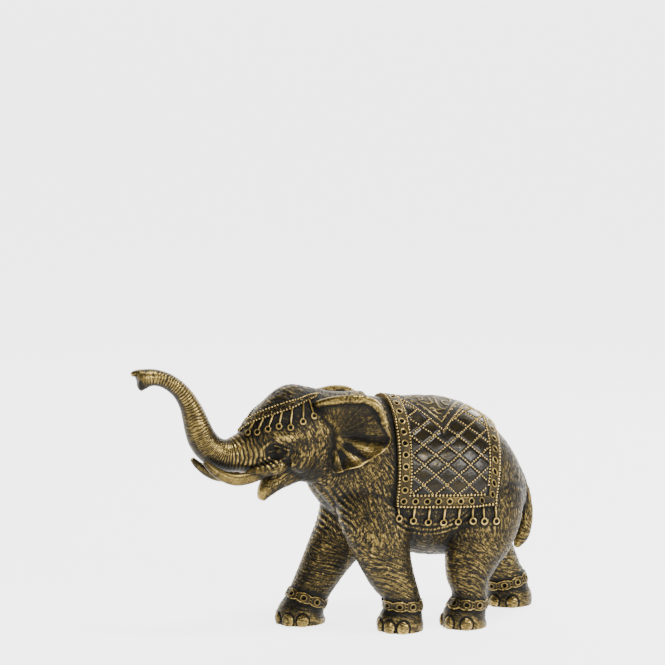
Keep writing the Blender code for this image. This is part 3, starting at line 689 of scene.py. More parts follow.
def lights():
    for name, (place, size, power) in LIGHTS.items():
        data = bpy.data.lights.new(name, "AREA")
        data.shape = "RECTANGLE"
        data.size, data.size_y = size
        data.energy = power
        box = link(name, data)
        box.location = place
        box.rotation_euler = (LIT_POINT - Vector(place)).to_track_quat("-Z", "Y").to_euler()
    world = bpy.data.worlds.new("room")
    world.use_nodes = True
    room = world.node_tree.nodes["Background"]
    room.inputs["Color"].default_value = (0.9, 0.95, 1.0, 1)
    room.inputs["Strength"].default_value = 0.06
    bpy.context.scene.world = world


# The patina's colour at each tone, from the deepest recess to the most rubbed edge
BRASS_TONES = (
    (0.0, (0.003, 0.003, 0.0025, 1)), (0.28, (0.009, 0.0075, 0.005, 1)), (0.45, (0.032, 0.024, 0.010, 1)),
    (0.62, (0.105, 0.074, 0.024, 1)), (0.80, (0.22, 0.152, 0.042, 1)), (1.0, (0.42, 0.295, 0.095, 1)),
)
MIDDLE_TONE = 0.57
HATCH_DEPTH = 0.6              # in tone
GROOVE_DARKENING = 0.22
RECESS_DARKENING = (-0.28, 0.60)   # from the most open place to the most crowded
CLOUD_SHARE = 0.5
GRIT_SHARE = 0.3
# Hatching: noise cells a unit across the folds and a metre along them, line width and weight
FOLD_HATCH = (1.05, 260.0, 0.055, 0.75)
CROSS_HATCH = (0.95, 280.0, 0.045, 0.25)


def brass():
    """Antiqued brass: nearly black in the recesses, gold on what stands proud, finely hatched on the skin."""
    material = bpy.data.materials.new("antiqued_brass")
    material.use_nodes = True
    nodes = material.node_tree.nodes
    shader = nodes["Principled BSDF"].inputs

    def feed(socket, value):
        """Gives a socket a constant, or joins it to another node's output."""
        if isinstance(value, bpy.types.NodeSocket):
            material.node_tree.links.new(value, socket)
        else:
            socket.default_value = value

    def node(kind, inputs, **settings):
        made = nodes.new(kind)
        for name, value in settings.items():
            setattr(made, name, value)
        for key, value in inputs.items():
            feed(made.inputs[key], value)
        return made

    def maths(operation, one, two, clamp=False):
        return node("ShaderNodeMath", {0: one, 1: two}, operation=operation, use_clamp=clamp).outputs[0]

    def times(one, two):
        return maths("MULTIPLY", one, two)

    def less(one, two):
        return maths("SUBTRACT", one, two)

    def plus(one, two, clamp=False):
        return maths("ADD", one, two, clamp)

    def kept(name):
        """A value that the script keeps on the piece's points."""
        return node("ShaderNodeAttribute", {}, attribute_name=name).outputs["Fac"]

    def spread(value, low, high, out_low, out_high):
        bounds = {"From Min": low, "From Max": high, "To Min": out_low, "To Max": out_high}
        return node("ShaderNodeMapRange", {"Value": value, **bounds}).outputs["Result"]

    def speckle(vector, scale, detail):
        inputs = {"Vector": vector, "Scale": scale, "Detail": detail}
        return node("ShaderNodeTexNoise", inputs).outputs["Fac"]

    def strokes(flow, across, along, width):
        """Thin lines that run where flow is constant: 1 where a drawn-out noise is halfway."""
        place = node("ShaderNodeVectorMath", {0: coordinates, "Scale": along}, operation="SCALE").outputs[0]
        shift = node("ShaderNodeCombineXYZ", {0: times(flow, across)}).outputs[0]
        drawn_out = node("ShaderNodeVectorMath", {0: place, 1: shift}, operation="ADD").outputs[0]
        offset = maths("DIVIDE", less(speckle(drawn_out, 1.0, 1.0), 0.5), width)
        return maths("POWER", 2.718, times(times(offset, offset), -1.0))

    coordinates = node("ShaderNodeTexCoord", {}).outputs["Object"]
    gloss = kept("gloss")
    *fold_sizes, fold_weight = FOLD_HATCH
    *cross_sizes, cross_weight = CROSS_HATCH
    on_head = strokes(kept("flow"), *fold_sizes)
    on_body = strokes(kept("body_flow"), *fold_sizes)
    choice = {"Factor": kept("body"), "A": on_head, "B": on_body}
    folds = node("ShaderNodeMix", choice, data_type="FLOAT").outputs["Result"]
    hatch = plus(times(folds, fold_weight), times(strokes(kept("cross"), *cross_sizes), cross_weight))
    hatch_lift = times(times(hatch, kept("hatch")), -HATCH_DEPTH)
    clouds = speckle(coordinates, 70.0, 4.0)
    grit = speckle(coordinates, 900.0, 2.0)

    # darker where surface from this piece or its neighbours crowds round a point, lighter where open: partly
    # patina in hollows, partly painted shade between parts
    tone = less(plus(hatch_lift, MIDDLE_TONE), spread(kept("recess"), -1.0, 1.5, *RECESS_DARKENING))
    tone = less(less(tone, times(kept("groove"), GROOVE_DARKENING)), kept("shade"))
    uneven = plus(times(less(clouds, 0.5), CLOUD_SHARE), times(less(grit, 0.5), GRIT_SHARE))
    tone = plus(tone, uneven, clamp=True)
    colour = node("ShaderNodeValToRGB", {"Fac": tone})
    ramp = colour.color_ramp.elements
    for place, tint in BRASS_TONES:
        stop = ramp.new(place) if place not in (0.0, 1.0) else ramp[-1 if place else 0]
        stop.color = tint
    bumpy = plus(hatch_lift, times(grit, 0.25))
    bump = node("ShaderNodeBump", {"Strength": 0.55, "Distance": 0.0004, "Height": bumpy})

    feed(shader["Base Color"], colour.outputs["Color"])
    feed(shader["Metallic"], spread(tone, 0.2, 0.6, 0.25, 0.95))
    feed(shader["Roughness"], less(spread(tone, 0.1, 0.9, 0.52, 0.27), times(gloss, 0.2)))
    feed(shader["Specular IOR Level"], plus(times(gloss, 0.1), 0.12))
    feed(shader["Specular Tint"], (0.95, 0.92, 0.86, 1))
    feed(shader["Normal"], bump.outputs["Normal"])
    return material


def geometry_tree(name, inputs):
    """A node tree that takes a geometry and these named values, each with its default."""
    tree = bpy.data.node_groups.new(name, "GeometryNodeTree")
    tree.interface.new_socket("Geometry", in_out="INPUT", socket_type="NodeSocketGeometry")
    for label, (kind, value) in inputs.items():
        made = tree.interface.new_socket(label, in_out="INPUT", socket_type=kind)
        if value is not None:
            made.default_value = value
    tree.interface.new_socket("Geometry", in_out="OUTPUT", socket_type="NodeSocketGeometry")
    return tree, tree.nodes.new("NodeGroupInput"), tree.nodes.new("NodeGroupOutput")


def named_attribute(tree, name, kind):
    made = tree.nodes.new("GeometryNodeInputNamedAttribute")
    made.data_type = kind
    made.inputs["Name"].default_value = name
    return made.outputs["Attribute"]


def close_tree(tree, start, end, shape):
    """Puts the shape on the points, turned and sized by their attributes, and ends the tree."""
    put = tree.nodes.new("GeometryNodeInstanceOnPoints")
    turn = tree.nodes.new("FunctionNodeAlignRotationToVector")
    turn.axis = "Z"
    real = tree.nodes.new("GeometryNodeRealizeInstances")
    paint = tree.nodes.new("GeometryNodeSetMaterial")
    for source, socket in (
        (start.outputs["Geometry"], put.inputs["Points"]),
        (shape, put.inputs["Instance"]),
        (named_attribute(tree, "up", "FLOAT_VECTOR"), turn.inputs["Vector"]),
        (turn.outputs["Rotation"], put.inputs["Rotation"]),
        (named_attribute(tree, "size", "FLOAT"), put.inputs["Scale"]),
        (put.outputs["Instances"], real.inputs["Geometry"]),
        (real.outputs["Geometry"], paint.inputs["Geometry"]),
        (start.outputs["Material"], paint.inputs["Material"]),
        (paint.outputs["Geometry"], end.inputs["Geometry"]),
    ):
        tree.links.new(source, socket)


def bead_tree():
    """A round bead of the size that each point gives."""
    tree, start, end = geometry_tree("beads", {
        "Sides": ("NodeSocketInt", 8), "Rows": ("NodeSocketInt", 5), "Material": ("NodeSocketMaterial", None),
    })
    ball = tree.nodes.new("GeometryNodeMeshUVSphere")
    tree.links.new(start.outputs["Sides"], ball.inputs["Segments"])
    tree.links.new(start.outputs["Rows"], ball.inputs["Rings"])
    ball.inputs["Radius"].default_value = 1.0
    close_tree(tree, start, end, ball.outputs["Mesh"])
    return tree


def ring_tree():
    """A round ring lying in the surface, of the size that each point gives."""
    tree, start, end = geometry_tree("rings", {
        "Sides": ("NodeSocketInt", 14), "Wire": ("NodeSocketFloat", 0.34), "Wire Sides": ("NodeSocketInt", 6),
        "Material": ("NodeSocketMaterial", None),
    })
    loop = tree.nodes.new("GeometryNodeCurvePrimitiveCircle")
    section = tree.nodes.new("GeometryNodeCurvePrimitiveCircle")
    tube = tree.nodes.new("GeometryNodeCurveToMesh")
    loop.inputs["Radius"].default_value = 1.0
    tree.links.new(start.outputs["Sides"], loop.inputs["Resolution"])
    tree.links.new(start.outputs["Wire Sides"], section.inputs["Resolution"])
    tree.links.new(start.outputs["Wire"], section.inputs["Radius"])
    tree.links.new(loop.outputs["Curve"], tube.inputs["Curve"])
    tree.links.new(section.outputs["Curve"], tube.inputs["Profile Curve"])
    close_tree(tree, start, end, tube.outputs["Mesh"])
    return tree


PAINTED_FOOT_SHADE = 0.34              # painted shade round the foot and sides of a bead or ring
LATTICE_PATINA = 0.06          # how much more patina lies all over these beads
HEADBAND_PATINA = 0.12


def repeated(name, tree, spots, finish, patina=0.0):
    """One mesh of the tree's shape on every spot, each spot a (place, up, size)."""
    places, ups, sizes = zip(*spots)
    mesh = bpy.data.meshes.new(name)
    mesh.from_pydata([tuple(place) for place in places], [], [])
    up = mesh.attributes.new("up", "FLOAT_VECTOR", "POINT")
    up.data.foreach_set("vector", np.array([tuple(up) for up in ups], np.float32).ravel())
    store(mesh, "size", sizes)
    obj = link(name, mesh)
    make = obj.modifiers.new("repeat", "NODES")
    make.node_group = tree
    for item in tree.interface.items_tree:
        if item.item_type == "SOCKET" and item.in_out == "INPUT" and item.name == "Material":
            make[item.identifier] = finish
    applied(obj)
    up = read(obj.data.attributes["up"].data, "vector", 3)
    facing = (normals_of(obj.data) * up).sum(axis=1) / np.linalg.norm(up, axis=1)
    # painted shade on each bead's or ring's sides and foot, none on its top
    store(obj.data, "shade", patina + PAINTED_FOOT_SHADE * (1 - np.clip(facing, 0, 1)) ** 1.5)
    for label in ("up", "size"):
        if label in obj.data.attributes:
            obj.data.attributes.remove(obj.data.attributes[label])
    return obj


def mesh_object(name, places, faces):
    mesh = bpy.data.meshes.new(name)
    mesh.from_pydata([tuple(place) for place in places], [], faces)
    mesh.update()
    return link(name, mesh)


def quads(index, turned=False):
    """Faces between the vertices of a grid, or the same faces turned over."""
    corners = np.stack([index[:-1, :-1], index[1:, :-1], index[1:, 1:], index[:-1, 1:]], -1).reshape(-1, 4)
    return corners[:, [0, 3, 2, 1] if turned else [0, 1, 2, 3]].tolist()


def grid_normals(grid):
    """Normals of a grid of places, from its rows and columns."""
    along = np.gradient(grid, axis=0)
    across = np.gradient(grid, axis=1)
    normals = np.cross(along, across)
    return normals / np.linalg.norm(normals, axis=2, keepdims=True)


def smooth_grid(grid, times, looped=False):
    """Evens a grid out and leaves its rim where it is."""
    for _ in range(times):
        inner = grid.copy()
        inner[1:-1] += (grid[2:] + grid[:-2] - 2 * grid[1:-1]) / 4
        grid = inner
        inner = grid.copy()
        if looped:
            inner += (np.roll(grid, 1, axis=1) + np.roll(grid, -1, axis=1) - 2 * grid) / 4
        else:
            inner[:, 1:-1] += (grid[:, 2:] + grid[:, :-2] - 2 * grid[:, 1:-1]) / 4
        grid = inner
    return grid


class Fabric:
    """A smooth patch laid on the form: places over a grid, with distances along both of its ways."""

    def __init__(self, grid, normals, along, across):
        self.grid = grid
        self.normals = normals
        self.along = along          # how far along each row lies: a distance, or a share of the way round
        self.across = across        # the distance across to each place of the grid

    def spot(self, along, across, rise):
        """The place this far along and across, raised off the form, and the normal there."""
        row = np.interp(along, self.along, np.arange(len(self.along)))
        low = int(min(row, len(self.along) - 2))
        part = row - low
        steps = self.across[low] * (1 - part) + self.across[low + 1] * part
        column = np.interp(across, steps, np.arange(len(steps)))
        left = int(min(column, len(steps) - 2))
        aside = column - left

        def mix(values):
            near = values[low, left] * (1 - aside) + values[low, left + 1] * aside
            far = values[low + 1, left] * (1 - aside) + values[low + 1, left + 1] * aside
            return near * (1 - part) + far * part

        normal = mix(self.normals)
        normal = normal / np.linalg.norm(normal)
        return mix(self.grid) + normal * rise, normal


CLOTH_FRONT = 22.9
CLOTH_REAR = 86.0
CLOTH_LEAN_FRONT = 2.5         # how much further back its front edge lies at the spine than at the hems
CLOTH_LEAN_REAR = 9.0          # the same for its rear edge
CLOTH_HEM_FRONT = 75.5
CLOTH_HEM_REAR = 72.5
CLOTH_AXIS = 88.0
CLOTH_THICKNESS = 1.5
CLOTH_ROWS = 171               # of the fine grid, along the back
CLOTH_COLUMNS = 401            # across it, from hem to hem
COARSE = 5                     # the hidden underside has one row for so many above it
SUNK = 1.4                     # how deep the underside of the cloth or of a band lies in the form
BORDER_WIDTH = 8.2
BORDER_RISE = 0.9
OUTER_ROW = 0.85               # of beads, from the cloth's edge
INNER_ROW = 7.6
OUTER_BEAD = 0.74              # radius
INNER_BEAD = 0.68
EYELET_ROW = 4.2
EYELET_PITCH = 6.5
EYELET_RADIUS = 1.3
LATTICE_LENGTH = 13.9          # of one diamond of the lattice, along the back
LATTICE_HEIGHT = 11.3
DIAMOND_MIDDLE = 50.5
DIAMOND_HALF_LENGTH = 24.5
DIAMOND_REACH = 0.40
DIAMOND_FRAME = 4.2
DIAMOND_SCALE = 17.5           # from the diamond's edge to its middle, measured across the frame
LATTICE_START = 8.0            # a crossing of the lattice lies this far from the front edge and the hem
QUILTING = 0.34                # how far the cells between the lattice's lines stand up
FRAME_RISE = 0.45              # of the diamond's frame over the cloth
RAIL_RISE = 0.42               # of the thin rails along both sides of the frame
SCROLL_RISE = 0.4
EYELET_DEPTH = 1.5
EYELET_LIP = 0.22
CLOTH_SHADE = 0.22
# Rows of beads along the border: from one bead to the next, and rise over the cloth
BORDER_BEADS = (1.8, 0.35)
SIDE_BEADS = (2.15, 0.4)       # along the hems, where they are larger
SIDE_BEAD_GROWTH = 1.15
LATTICE_PITCH = 1.65
LATTICE_BEAD = 0.60
DIAMOND_BEADS = (0.8, 1.6, 0.62, 0.3)      # outside the frame's edge, pitch, radius, rise
DIAMOND_EYELETS = (-2.4, 4.4, 0.62, 0.45)  # the same for the eyelets in the frame


def hem_height(x):
    share = (x - CLOTH_FRONT) / (CLOTH_REAR - CLOTH_FRONT)
    return CLOTH_HEM_FRONT + (CLOTH_HEM_REAR - CLOTH_HEM_FRONT) * share


def seen_from_axis(tree, x, angle):
    """The form's outside at this x, at an angle round the cloth's axis from straight up."""
    out = Vector((0, math.sin(angle), math.cos(angle)))
    place, _, _, _ = tree.ray_cast(Vector((x, 0, CLOTH_AXIS)) + out * 300, -out)
    return place


def cloth_fabric(tree):
    """The form's surface under the cloth, from hem to hem over the back."""
    rows = []
    for x in np.linspace(CLOTH_FRONT, CLOTH_REAR, CLOTH_ROWS):
        reach = []
        for side in (-1, 1):
            low, high = 0.0, math.radians(140)
            for _ in range(16):
                angle = (low + high) / 2
                inside = seen_from_axis(tree, x, side * angle).z > hem_height(x)
                low, high = (angle, high) if inside else (low, angle)
            reach.append(angle)
        back = (x - CLOTH_FRONT) / (CLOTH_REAR - CLOTH_FRONT)
        lean = CLOTH_LEAN_FRONT + (CLOTH_LEAN_REAR - CLOTH_LEAN_FRONT) * back
        rows.append([
            seen_from_axis(tree, x + lean * (1 - abs(share)), share * reach[0 if share < 0 else 1])
            for share in np.linspace(-1, 1, CLOTH_COLUMNS)
        ])
    grid = smooth_grid(np.array([[tuple(p) for p in row] for row in rows]), 12)
    across = distances(grid, 1)
    across -= across[:, CLOTH_COLUMNS // 2, None]
    return Fabric(grid, grid_normals(grid), np.linspace(0, CLOTH_REAR - CLOTH_FRONT, CLOTH_ROWS), across)


def eyelet_rows(fabric):
    """Places of the eyelets along the cloth's border, as (along, across)."""
    length = CLOTH_REAR - CLOTH_FRONT
    spots = []
    for row, along in ((0, EYELET_ROW), (-1, length - EYELET_ROW)):
        left, right = fabric.across[row, 0] + EYELET_ROW, fabric.across[row, -1] - EYELET_ROW
        count = round((right - left) / EYELET_PITCH)
        spots += [(along, a) for a in np.linspace(left, right, count + 1)]
    count = round((length - 2 * EYELET_ROW) / EYELET_PITCH)
    for k in range(1, count):
        along = EYELET_ROW + (length - 2 * EYELET_ROW) * k / count
        for end in (0, -1):
            edge = np.interp(along, fabric.along, fabric.across[:, end])
            spots.append((along, edge - math.copysign(EYELET_ROW, edge)))
    return spots


def inside_diamond(along, share):
    """How far inside the diamond's edge a place is, for its share of the way from the spine to the hem."""
    away = abs(along + CLOTH_FRONT - DIAMOND_MIDDLE) / DIAMOND_HALF_LENGTH + share / DIAMOND_REACH
    return (1 - away) * DIAMOND_SCALE


def cloth_coordinates(fabric):
    """For each place of the cloth: along, and distances from the hem, from the edge and into the diamond."""
    along = np.repeat(fabric.along[:, None], CLOTH_COLUMNS, axis=1)
    left = fabric.across - fabric.across[:, :1]
    right = fabric.across[:, -1:] - fabric.across
    hem = np.where(fabric.across < 0, left, right)
    edge = np.minimum(np.minimum(along, fabric.along[-1] - along), hem)
    share = np.abs(np.linspace(-1, 1, CLOTH_COLUMNS))[None, :]
    return along, hem, edge, inside_diamond(along, share)


def lattice_gap(along, hem):
    """Distance to the nearest line of the lattice."""
    run = (along - LATTICE_START) / LATTICE_LENGTH
    climb = (hem - LATTICE_START) / LATTICE_HEIGHT
    spacing = 1 / math.hypot(1 / LATTICE_LENGTH, 1 / LATTICE_HEIGHT)
    gaps = [np.abs(value - np.round(value)) * spacing for value in (run + climb, run - climb)]
    return np.minimum(*gaps)


def cloth_noise(fabric, cell, seed):
    return noise(fabric.grid.reshape(-1, 3) / cell, seed).reshape(fabric.across.shape)


def cloth_heights(fabric):
    """The cloth's relief: a raised border with eyelets, a quilted field and the framed diamond."""
    along, hem, edge, inside = cloth_coordinates(fabric)
    gap = lattice_gap(along, hem)
    height = CLOTH_THICKNESS + QUILTING * smoothstep(0.5, 1.5, gap) + 0.05 * smoothstep(1.5, 4.0, gap)
    band = smoothstep(1.2, 1.9, edge) * (1 - smoothstep(6.6, 7.2, edge))
    border = 1 - smoothstep(7.9, 8.5, edge)
    height = height * (1 - border) + border * (CLOTH_THICKNESS + 0.15 + (BORDER_RISE - 0.15) * band)
    frame_band = smoothstep(-0.5, 0.1, inside)
    rail = bell(inside - 0.7, 0.35) + bell(inside - DIAMOND_FRAME, 0.4)
    field = smoothstep(DIAMOND_FRAME - 0.2, DIAMOND_FRAME + 0.5, inside)
    framed = CLOTH_THICKNESS + FRAME_RISE + RAIL_RISE * rail - 0.15 * field + 0.35 * smoothstep(6, 12, inside)
    scrolls = bell(cloth_noise(fabric, 3.4, 22), 0.16)
    framed += SCROLL_RISE * scrolls * smoothstep(DIAMOND_FRAME + 1, DIAMOND_FRAME + 2.5, inside)
    height = height * (1 - frame_band) + framed * frame_band
    holes = np.zeros(height.shape)
    for spot_along, spot_across in eyelet_rows(fabric):
        rows = np.flatnonzero(np.abs(fabric.along - spot_along) < 3)
        reach = np.hypot(along[rows] - spot_along, fabric.across[rows] - spot_across)
        hole = -EYELET_DEPTH * (1 - smoothstep(EYELET_RADIUS - 0.45, EYELET_RADIUS + 0.05, reach))
        hole += EYELET_LIP * bell(reach - EYELET_RADIUS - 0.35, 0.3)
        holes[rows] += np.where(reach < 2 * EYELET_RADIUS, hole, 0)
    return height + holes + 0.05 * cloth_noise(fabric, 1.6, 21)


def cloth_shade(fabric):
    """How much darker the cloth is: more patina on the open cloth and in the diamond, and painted shade under
    the beads.
    """
    along, hem, edge, inside = cloth_coordinates(fabric)
    past_border = smoothstep(7.2, 8.6, edge)
    framed = smoothstep(-0.5, 0.1, inside)
    open_cloth = past_border * (1 - framed)
    # painted shade under the rows of beads and along the lattice's beads
    shade_under_beads = bell(edge - OUTER_ROW, 0.9) + bell(edge - INNER_ROW, 0.9)
    shade_under_lattice = open_cloth * bell(lattice_gap(along, hem), 0.8)
    field = 0.10 * open_cloth + 0.04 * framed * past_border
    return CLOTH_SHADE + field + 0.3 * shade_under_beads + 0.15 * shade_under_lattice


def cloth_gloss(fabric):
    """The open cloth is smoother than the rest."""
    _, _, edge, inside = cloth_coordinates(fabric)
    return smoothstep(7.6, 8.6, edge) * (1 - smoothstep(-0.5, 0.1, inside))


def slab(name, fabric, heights):
    """A closed slab: a fine upper side at these heights and a coarse underside buried in the form."""
    rows, columns = heights.shape
    top = fabric.grid + fabric.normals * heights[:, :, None]
    under = (fabric.grid - fabric.normals * SUNK)[::COARSE, ::COARSE]
    index = np.arange(rows * columns).reshape(rows, columns)
    lower = index.size + np.arange(under.shape[0] * under.shape[1]).reshape(under.shape[:2])
    faces = quads(index) + quads(lower, turned=True)
    for fine, coarse, turned in (
        (index[0], lower[0], False), (index[-1], lower[-1], True),
        (index[:, 0], lower[:, 0], True), (index[:, -1], lower[:, -1], False),
    ):
        for k in range(len(coarse) - 1):
            wall = [*fine[k * COARSE:(k + 1) * COARSE + 1], coarse[k + 1], coarse[k]]
            faces.append([int(v) for v in (reversed(wall) if turned else wall)])
    obj = mesh_object(name, np.concatenate([top.reshape(-1, 3), under.reshape(-1, 3)]), faces)
    with edited(obj.data) as bm:
        bmesh.ops.recalc_face_normals(bm, faces=bm.faces)
    return obj


def row_of_beads(fabric, one, two, pitch, size, rise):
    """Beads on the fabric from one (along, across) to another, ends included."""
    length = math.hypot(two[0] - one[0], two[1] - one[1])
    count = max(1, round(length / pitch))
    spots = []
    for k in range(count + 1):
        t = k / count
        place, normal = fabric.spot(one[0] + (two[0] - one[0]) * t, one[1] + (two[1] - one[1]) * t, rise)
        spots.append((place, normal, size))
    return spots


def border_beads(fabric):
    """Two rows of beads all round the border, the larger ones along the hems."""
    length = fabric.along[-1]
    spots = []
    for inset, size in ((OUTER_ROW, OUTER_BEAD), (INNER_ROW, INNER_BEAD)):
        pitch, rise = BORDER_BEADS
        for row, along in ((0, inset), (-1, length - inset)):
            left, right = fabric.across[row, 0] + inset, fabric.across[row, -1] - inset
            spots += row_of_beads(fabric, (along, left), (along, right), pitch, size, CLOTH_THICKNESS + rise)
        pitch, rise = SIDE_BEADS
        count = round((length - 2 * inset) / pitch)
        for end, lean in ((0, 1), (-1, -1)):
            for k in range(1, count):
                along = inset + (length - 2 * inset) * k / count
                across = np.interp(along, fabric.along, fabric.across[:, end]) + lean * inset
                place, normal = fabric.spot(along, across, CLOTH_THICKNESS + rise)
                spots.append((place, normal, size * SIDE_BEAD_GROWTH))
    return spots


def lattice_beads(fabric):
    """Beads along the lattice's lines, wherever these cross the open cloth."""
    first, last = BORDER_WIDTH + 0.5, fabric.along[-1] - BORDER_WIDTH - 0.5
    tilt = math.atan2(LATTICE_HEIGHT, LATTICE_LENGTH)
    spots = []
    for side, lean, line, k in itertools.product((-1, 1), (1, -1), range(-8, 14), range(-8, 60)):
        along = LATTICE_START + line * LATTICE_LENGTH + lean * k * LATTICE_PITCH * math.cos(tilt)
        hem = LATTICE_START + k * LATTICE_PITCH * math.sin(tilt)
        if not first < along < last or hem < BORDER_WIDTH + 0.4:
            continue
        end = np.interp(along, fabric.along, fabric.across[:, 0 if side < 0 else -1])
        across = end - side * hem
        past_spine = across * side < 0.5
        if past_spine or inside_diamond(along, (abs(end) - hem) / abs(end)) > -1.2:
            continue
        spots.append((*fabric.spot(along, across, CLOTH_THICKNESS + 0.22), LATTICE_BEAD))
    return spots


def diamond_row(fabric, outside, pitch, size, rise):
    """Beads or eyelets along the diamond's four sides, this far outside its edge."""
    middle = DIAMOND_MIDDLE - CLOTH_FRONT
    half_girth = np.abs(fabric.across[CLOTH_ROWS // 2]).max()
    grow = 1 + outside / DIAMOND_SCALE
    spots = []
    for side, lean in itertools.product((-1, 1), repeat=2):
        one = (middle + lean * DIAMOND_HALF_LENGTH * grow, 0.0)
        two = (middle, side * DIAMOND_REACH * half_girth * grow)
        spots += row_of_beads(fabric, one, two, pitch, size, CLOTH_THICKNESS + rise)
    return spots


TUSK_SIDES = 24
TUSK_SHADE = 0.19
TUSK_UNDERSIDE_SHADE = 0.2     # more, where it faces the ground
TUSK_HATCH = 0.35


def tusks():
    """Both tusks, the right one set a little further forward and lower."""
    bm = bmesh.new()
    for mirror, shift in ((1, (0, 0, 0)), (-1, RIGHT_TUSK_SHIFT)):
        add_limb(bm, TUSK, mirror, shift, sides=TUSK_SIDES, steps=SPINE_STEPS)
    pair = built("tusks", bm)
    x, _, z = places_of(pair.data).T
    facing_down = np.clip(-normals_of(pair.data)[:, 2], 0, 1)
    store(pair.data, "shade", TUSK_SHADE + TUSK_UNDERSIDE_SHADE * facing_down)
    store(pair.data, "flow", x)
    store(pair.data, "cross", x + 0.8 * z)
    store(pair.data, "hatch", TUSK_HATCH)
    return pair


EAR_ROOT = (
    (-20.5, -14.5, 133.5), (-17.0, -18.0, 126.5), (-13.0, -20.0, 119.8), (-12.5, -20.5, 109.4),
    (-12.0, -20.0, 97.5),
)
EAR_EDGE = (
    (-21.5, -14.5, 134.8), (-15.8, -22.0, 137.8), (-5.0, -28.0, 139.4), (4.0, -31.0, 138.9),
    (11.0, -32.5, 134.3), (15.0, -33.5, 124.7), (18.8, -34.0, 115.2), (12.3, -33.5, 108.6),
    (3.9, -32.0, 102.8), (-4.0, -29.0, 99.4), (-11.5, -22.0, 95.8),
)
RIGHT_EAR_SWING = (11, 0, -1.5)
EAR_THICKNESS = 3.0
EAR_BOWL = 4.0
EAR_APEX = (-11.0, 117.0)      # x and z of the point that the pleats fan out from
# Its pleats: degrees below the level, width in degrees and height, valleys below 0
EAR_FOLDS = (
    (93, 3.5, -1.3), (85, 6, 1.0), (77, 3.5, -1.4), (56, 8, 1.5), (40, 6, -1.1), (20, 9, 1.5), (2, 6, -0.6),
)
EAR_TUCK = 3.0                 # how far the ear's root is sunk into the head
EAR_ROLL = 2.6                 # radius of the rolled rim
EAR_ROLL_END = 0.52            # the share of the ear's edge that is rolled
EAR_SHADE = 0.27               # how much darker the ear's hollow is: partly patina, partly painted shade under its rim
EAR_RIM_SHADE = 0.20
EAR_FAN_UNIT = 2.2             # degrees of the fan that count as one unit across its streaks
EAR_ROWS = 150
EAR_COLUMNS = 60
EAR_DOWN = np.linspace(0, 1, EAR_ROWS)[:, None]      # the share of the way from the ear's top to its lobe
EAR_OUT = np.linspace(0, 1, EAR_COLUMNS)[None, :]    # and from its root to its edge


def by_share(points, shares):
    """Places at these shares of a polyline's length."""
    points = np.array(points)
    lengths = distances(points)
    return np.stack([np.interp(np.array(shares) * lengths[-1], lengths, c) for c in points.T], axis=1)


def ear_leaf(edge, swing):
    """The ear's middle surface, and each place's distance and angle from the apex and its pleat's height."""
    inner = by_share(catmull_rom(EAR_ROOT, 8), EAR_DOWN[:, 0])
    outer = by_share(edge, EAR_DOWN[:, 0])
    grid = inner[:, None] * (1 - EAR_OUT[:, :, None]) + outer[:, None] * EAR_OUT[:, :, None]
    hollow = np.maximum(0, np.sin(math.pi * EAR_DOWN)) ** 0.5
    grid[:, :, 1] += EAR_TUCK * (1 - smoothstep(0, 0.16, EAR_OUT))
    x, z = np.moveaxis(grid[:, :, [0, 2]] - (EAR_APEX[0] + swing[0] * 0.3, EAR_APEX[1]), 2, 0)
    reach = np.hypot(x, z)
    below = np.degrees(np.arctan2(-z, x))
    fan = sum(rise * bell(below - middle, wide) for middle, wide, rise in EAR_FOLDS)
    grid[:, :, 1] += EAR_BOWL * np.sin(math.pi * EAR_OUT) * hollow
    grid[:, :, 1] -= fan * smoothstep(4, 15, reach)
    return smooth_grid(grid, 2), reach, below, fan


def ear_faces():
    """Faces of the ear's front and back and of the wall round them."""
    front = np.arange(EAR_ROWS * EAR_COLUMNS).reshape(EAR_ROWS, EAR_COLUMNS)
    back = front + front.size
    faces = quads(front) + quads(back, turned=True)
    for side in (np.s_[0], np.s_[-1], np.s_[:, 0], np.s_[:, -1]):
        one, two = front[side], back[side]
        faces += [[int(v) for v in wall] for wall in zip(one, one[1:], two[1:], two)]
    return faces


def ear_rim(bm, edge, mirror):
    """A knobbly roll along the ear's upper edge."""
    rows = []
    roll = by_share(edge, np.linspace(0, EAR_ROLL_END, 60))
    for k, place in enumerate(roll):
        t = k / (len(roll) - 1)
        radius = EAR_ROLL * (0.75 + 0.25 * math.sin(math.pi * t)) + 0.12 * math.sin(9.0 * t * math.pi)
        rows.append((*place, radius, radius))
    add_limb(bm, rows, mirror, sides=28, steps=2)


def ear_shade(reach, below, fan):
    """Painted shade, with some patina, in the ear's hollow and under its rim, darker on its front pleat and
    along its hem, painted highlights on the pleats.
    """
    bowl = (1 - smoothstep(-20, 22, below)) * smoothstep(0.03, 0.15, EAR_OUT)
    hem = smoothstep(0.9, 0.97, EAR_OUT) * smoothstep(0.5, 0.56, EAR_DOWN)
    shade = EAR_SHADE * bowl + 0.2 * smoothstep(76, 86, below) + 0.16 * hem
    # painted highlights on the pleats' crests near the hem
    return shade - 0.12 * np.clip(fan, 0, 1.5) * smoothstep(10, 19, reach) * (below < 76)


